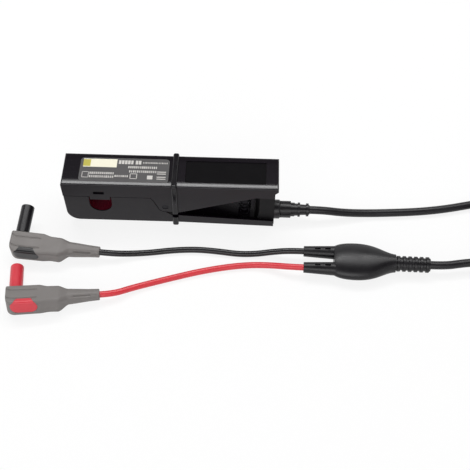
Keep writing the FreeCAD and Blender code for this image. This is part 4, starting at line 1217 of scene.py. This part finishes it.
# ---------------------------------------------------------------- studio
@dataclass
class Studio:
    """Floor, lamps, world and camera."""

    eye: Point = (0.04743, -0.38392, 0.48475)
    elevation: float = 53.08
    yaw: float = -1.263
    roll: float = 0.639
    lens: float = 75.42
    fill: float = 0.22
    wall_radius: float = 3.0
    wall_height: float = 1.9
    paper_glow: float = 0.85
    lamps: tuple[tuple[str, Point, Point, float, float, float], ...] = (
        # name, place, aim, width, height, power
        ("overhead_soft", (0.1, 0.42, 1.24), (0.02, 0.0, 0.03), 1.5, 0.56, 9.0),
        ("front_soft", (-0.3, -1.3, 0.7), (0.0, 0.0, 0.0), 1.6, 0.8, 11.0),
        ("rim_strip", (-0.12, 0.66, 1.24), (0.0, 0.0, 0.03), 1.5, 0.13, 8.0),
    )

    def build(self) -> None:
        """Builds the whole studio."""
        self.build_floor()
        self.build_world()
        for lamp in self.lamps:
            self.build_lamp(*lamp)
        self.build_camera()
        bpy.context.scene.view_settings.view_transform = "Standard"

    def build_floor(self) -> None:
        """Makes the pale floor and the low round wall behind it, which show as white and keep the
        soft shadows."""
        steps = 64
        ring = [
            (
                self.wall_radius * math.cos(math.tau * i / steps),
                self.wall_radius * math.sin(math.tau * i / steps),
            )
            for i in range(steps)
        ]
        low = [(x, y, 0.0) for x, y in ring]
        high = [(x, y, self.wall_height) for x, y in ring]
        walls = [((i + 1) % steps, i, i + steps, (i + 1) % steps + steps) for i in range(steps)]
        mesh = bpy.data.meshes.new("floor")
        mesh.from_pydata(low + high, [], [tuple(range(steps))] + walls)
        floor = bpy.data.objects.new("floor", mesh)
        bpy.context.scene.collection.objects.link(floor)
        made = bpy.data.materials.new("paper_white")
        made.use_nodes = True
        tree = made.node_tree
        tree.nodes.clear()
        paper = add(tree, "ShaderNodeBsdfDiffuse", {"Color": linear("f2f2f2")}).outputs[0]
        white = add(tree, "ShaderNodeEmission", {"Color": (1, 1, 1, 1), "Strength": 1.0}).outputs[0]
        path = add(tree, "ShaderNodeLightPath")
        seen = path.outputs["Is Camera Ray"]
        for ray in ("Is Glossy Ray", "Is Transmission Ray"):
            seen = add(
                tree, "ShaderNodeMath", {0: seen, 1: path.outputs[ray]}, operation="MAXIMUM"
            ).outputs[0]
        share = add(tree, "ShaderNodeMath", {0: seen, 1: self.paper_glow}, operation="MULTIPLY").outputs[0]
        mix = add(tree, "ShaderNodeMixShader", {0: share, 1: paper, 2: white}).outputs[0]
        add(tree, "ShaderNodeOutputMaterial", {"Surface": mix})
        mesh.materials.append(made)

    def build_world(self) -> None:
        """Makes a plain, even and dim sky."""
        world = bpy.data.worlds.new("studio_air")
        bpy.context.scene.world = world
        world.use_nodes = True
        tree = world.node_tree
        tree.nodes.clear()
        air = add(tree, "ShaderNodeBackground", {"Color": (1, 1, 1, 1), "Strength": self.fill})
        add(tree, "ShaderNodeOutputWorld", {"Surface": air.outputs[0]})

    def build_lamp(
        self, name: str, place: Point, aim: Point, width: float, height: float, power: float
    ) -> None:
        """Adds one soft rectangular lamp.

        Args:
            name: Lamp's name.
            place: Where it hangs.
            aim: What it points at.
            width: Its width in metres.
            height: Its height in metres.
            power: Its power in watts.
        """
        light = bpy.data.lights.new(name, "AREA")
        light.shape = "RECTANGLE"
        light.size, light.size_y, light.energy = width, height, power
        lamp = bpy.data.objects.new(name, light)
        lamp.location = place
        lamp.rotation_euler = (Vector(aim) - Vector(place)).to_track_quat("-Z", "Y").to_euler()
        bpy.context.scene.collection.objects.link(lamp)

    def build_camera(self) -> None:
        """Sets the camera at the view's place and angle."""
        down, yaw, roll = (math.radians(v) for v in (self.elevation, self.yaw, self.roll))
        ahead = Vector((math.sin(yaw) * math.cos(down), math.cos(yaw) * math.cos(down), -math.sin(down)))
        right = ahead.cross(Vector((0, 0, 1))).normalized()
        up = right.cross(ahead)
        across = right * math.cos(roll) + up * math.sin(roll)
        upward = -right * math.sin(roll) + up * math.cos(roll)
        turn = Matrix((across, upward, -ahead)).transposed().to_4x4()
        data = bpy.data.cameras.new("camera")
        data.lens, data.sensor_width = self.lens, 36.0
        data.clip_start, data.clip_end = 0.01, 50.0
        camera = bpy.data.objects.new("camera", data)
        camera.matrix_world = Matrix.Translation(Vector(self.eye)) @ turn
        bpy.context.scene.collection.objects.link(camera)
        bpy.context.scene.camera = camera


def main() -> None:
    """Builds the clamp, its leads and the studio."""
    logging.basicConfig(level=logging.INFO, format="%(name)s: %(message)s")
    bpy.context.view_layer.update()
    Clamp().build()
    Leads().build()
    Studio().build()


if __name__ == "__main__":
    main()
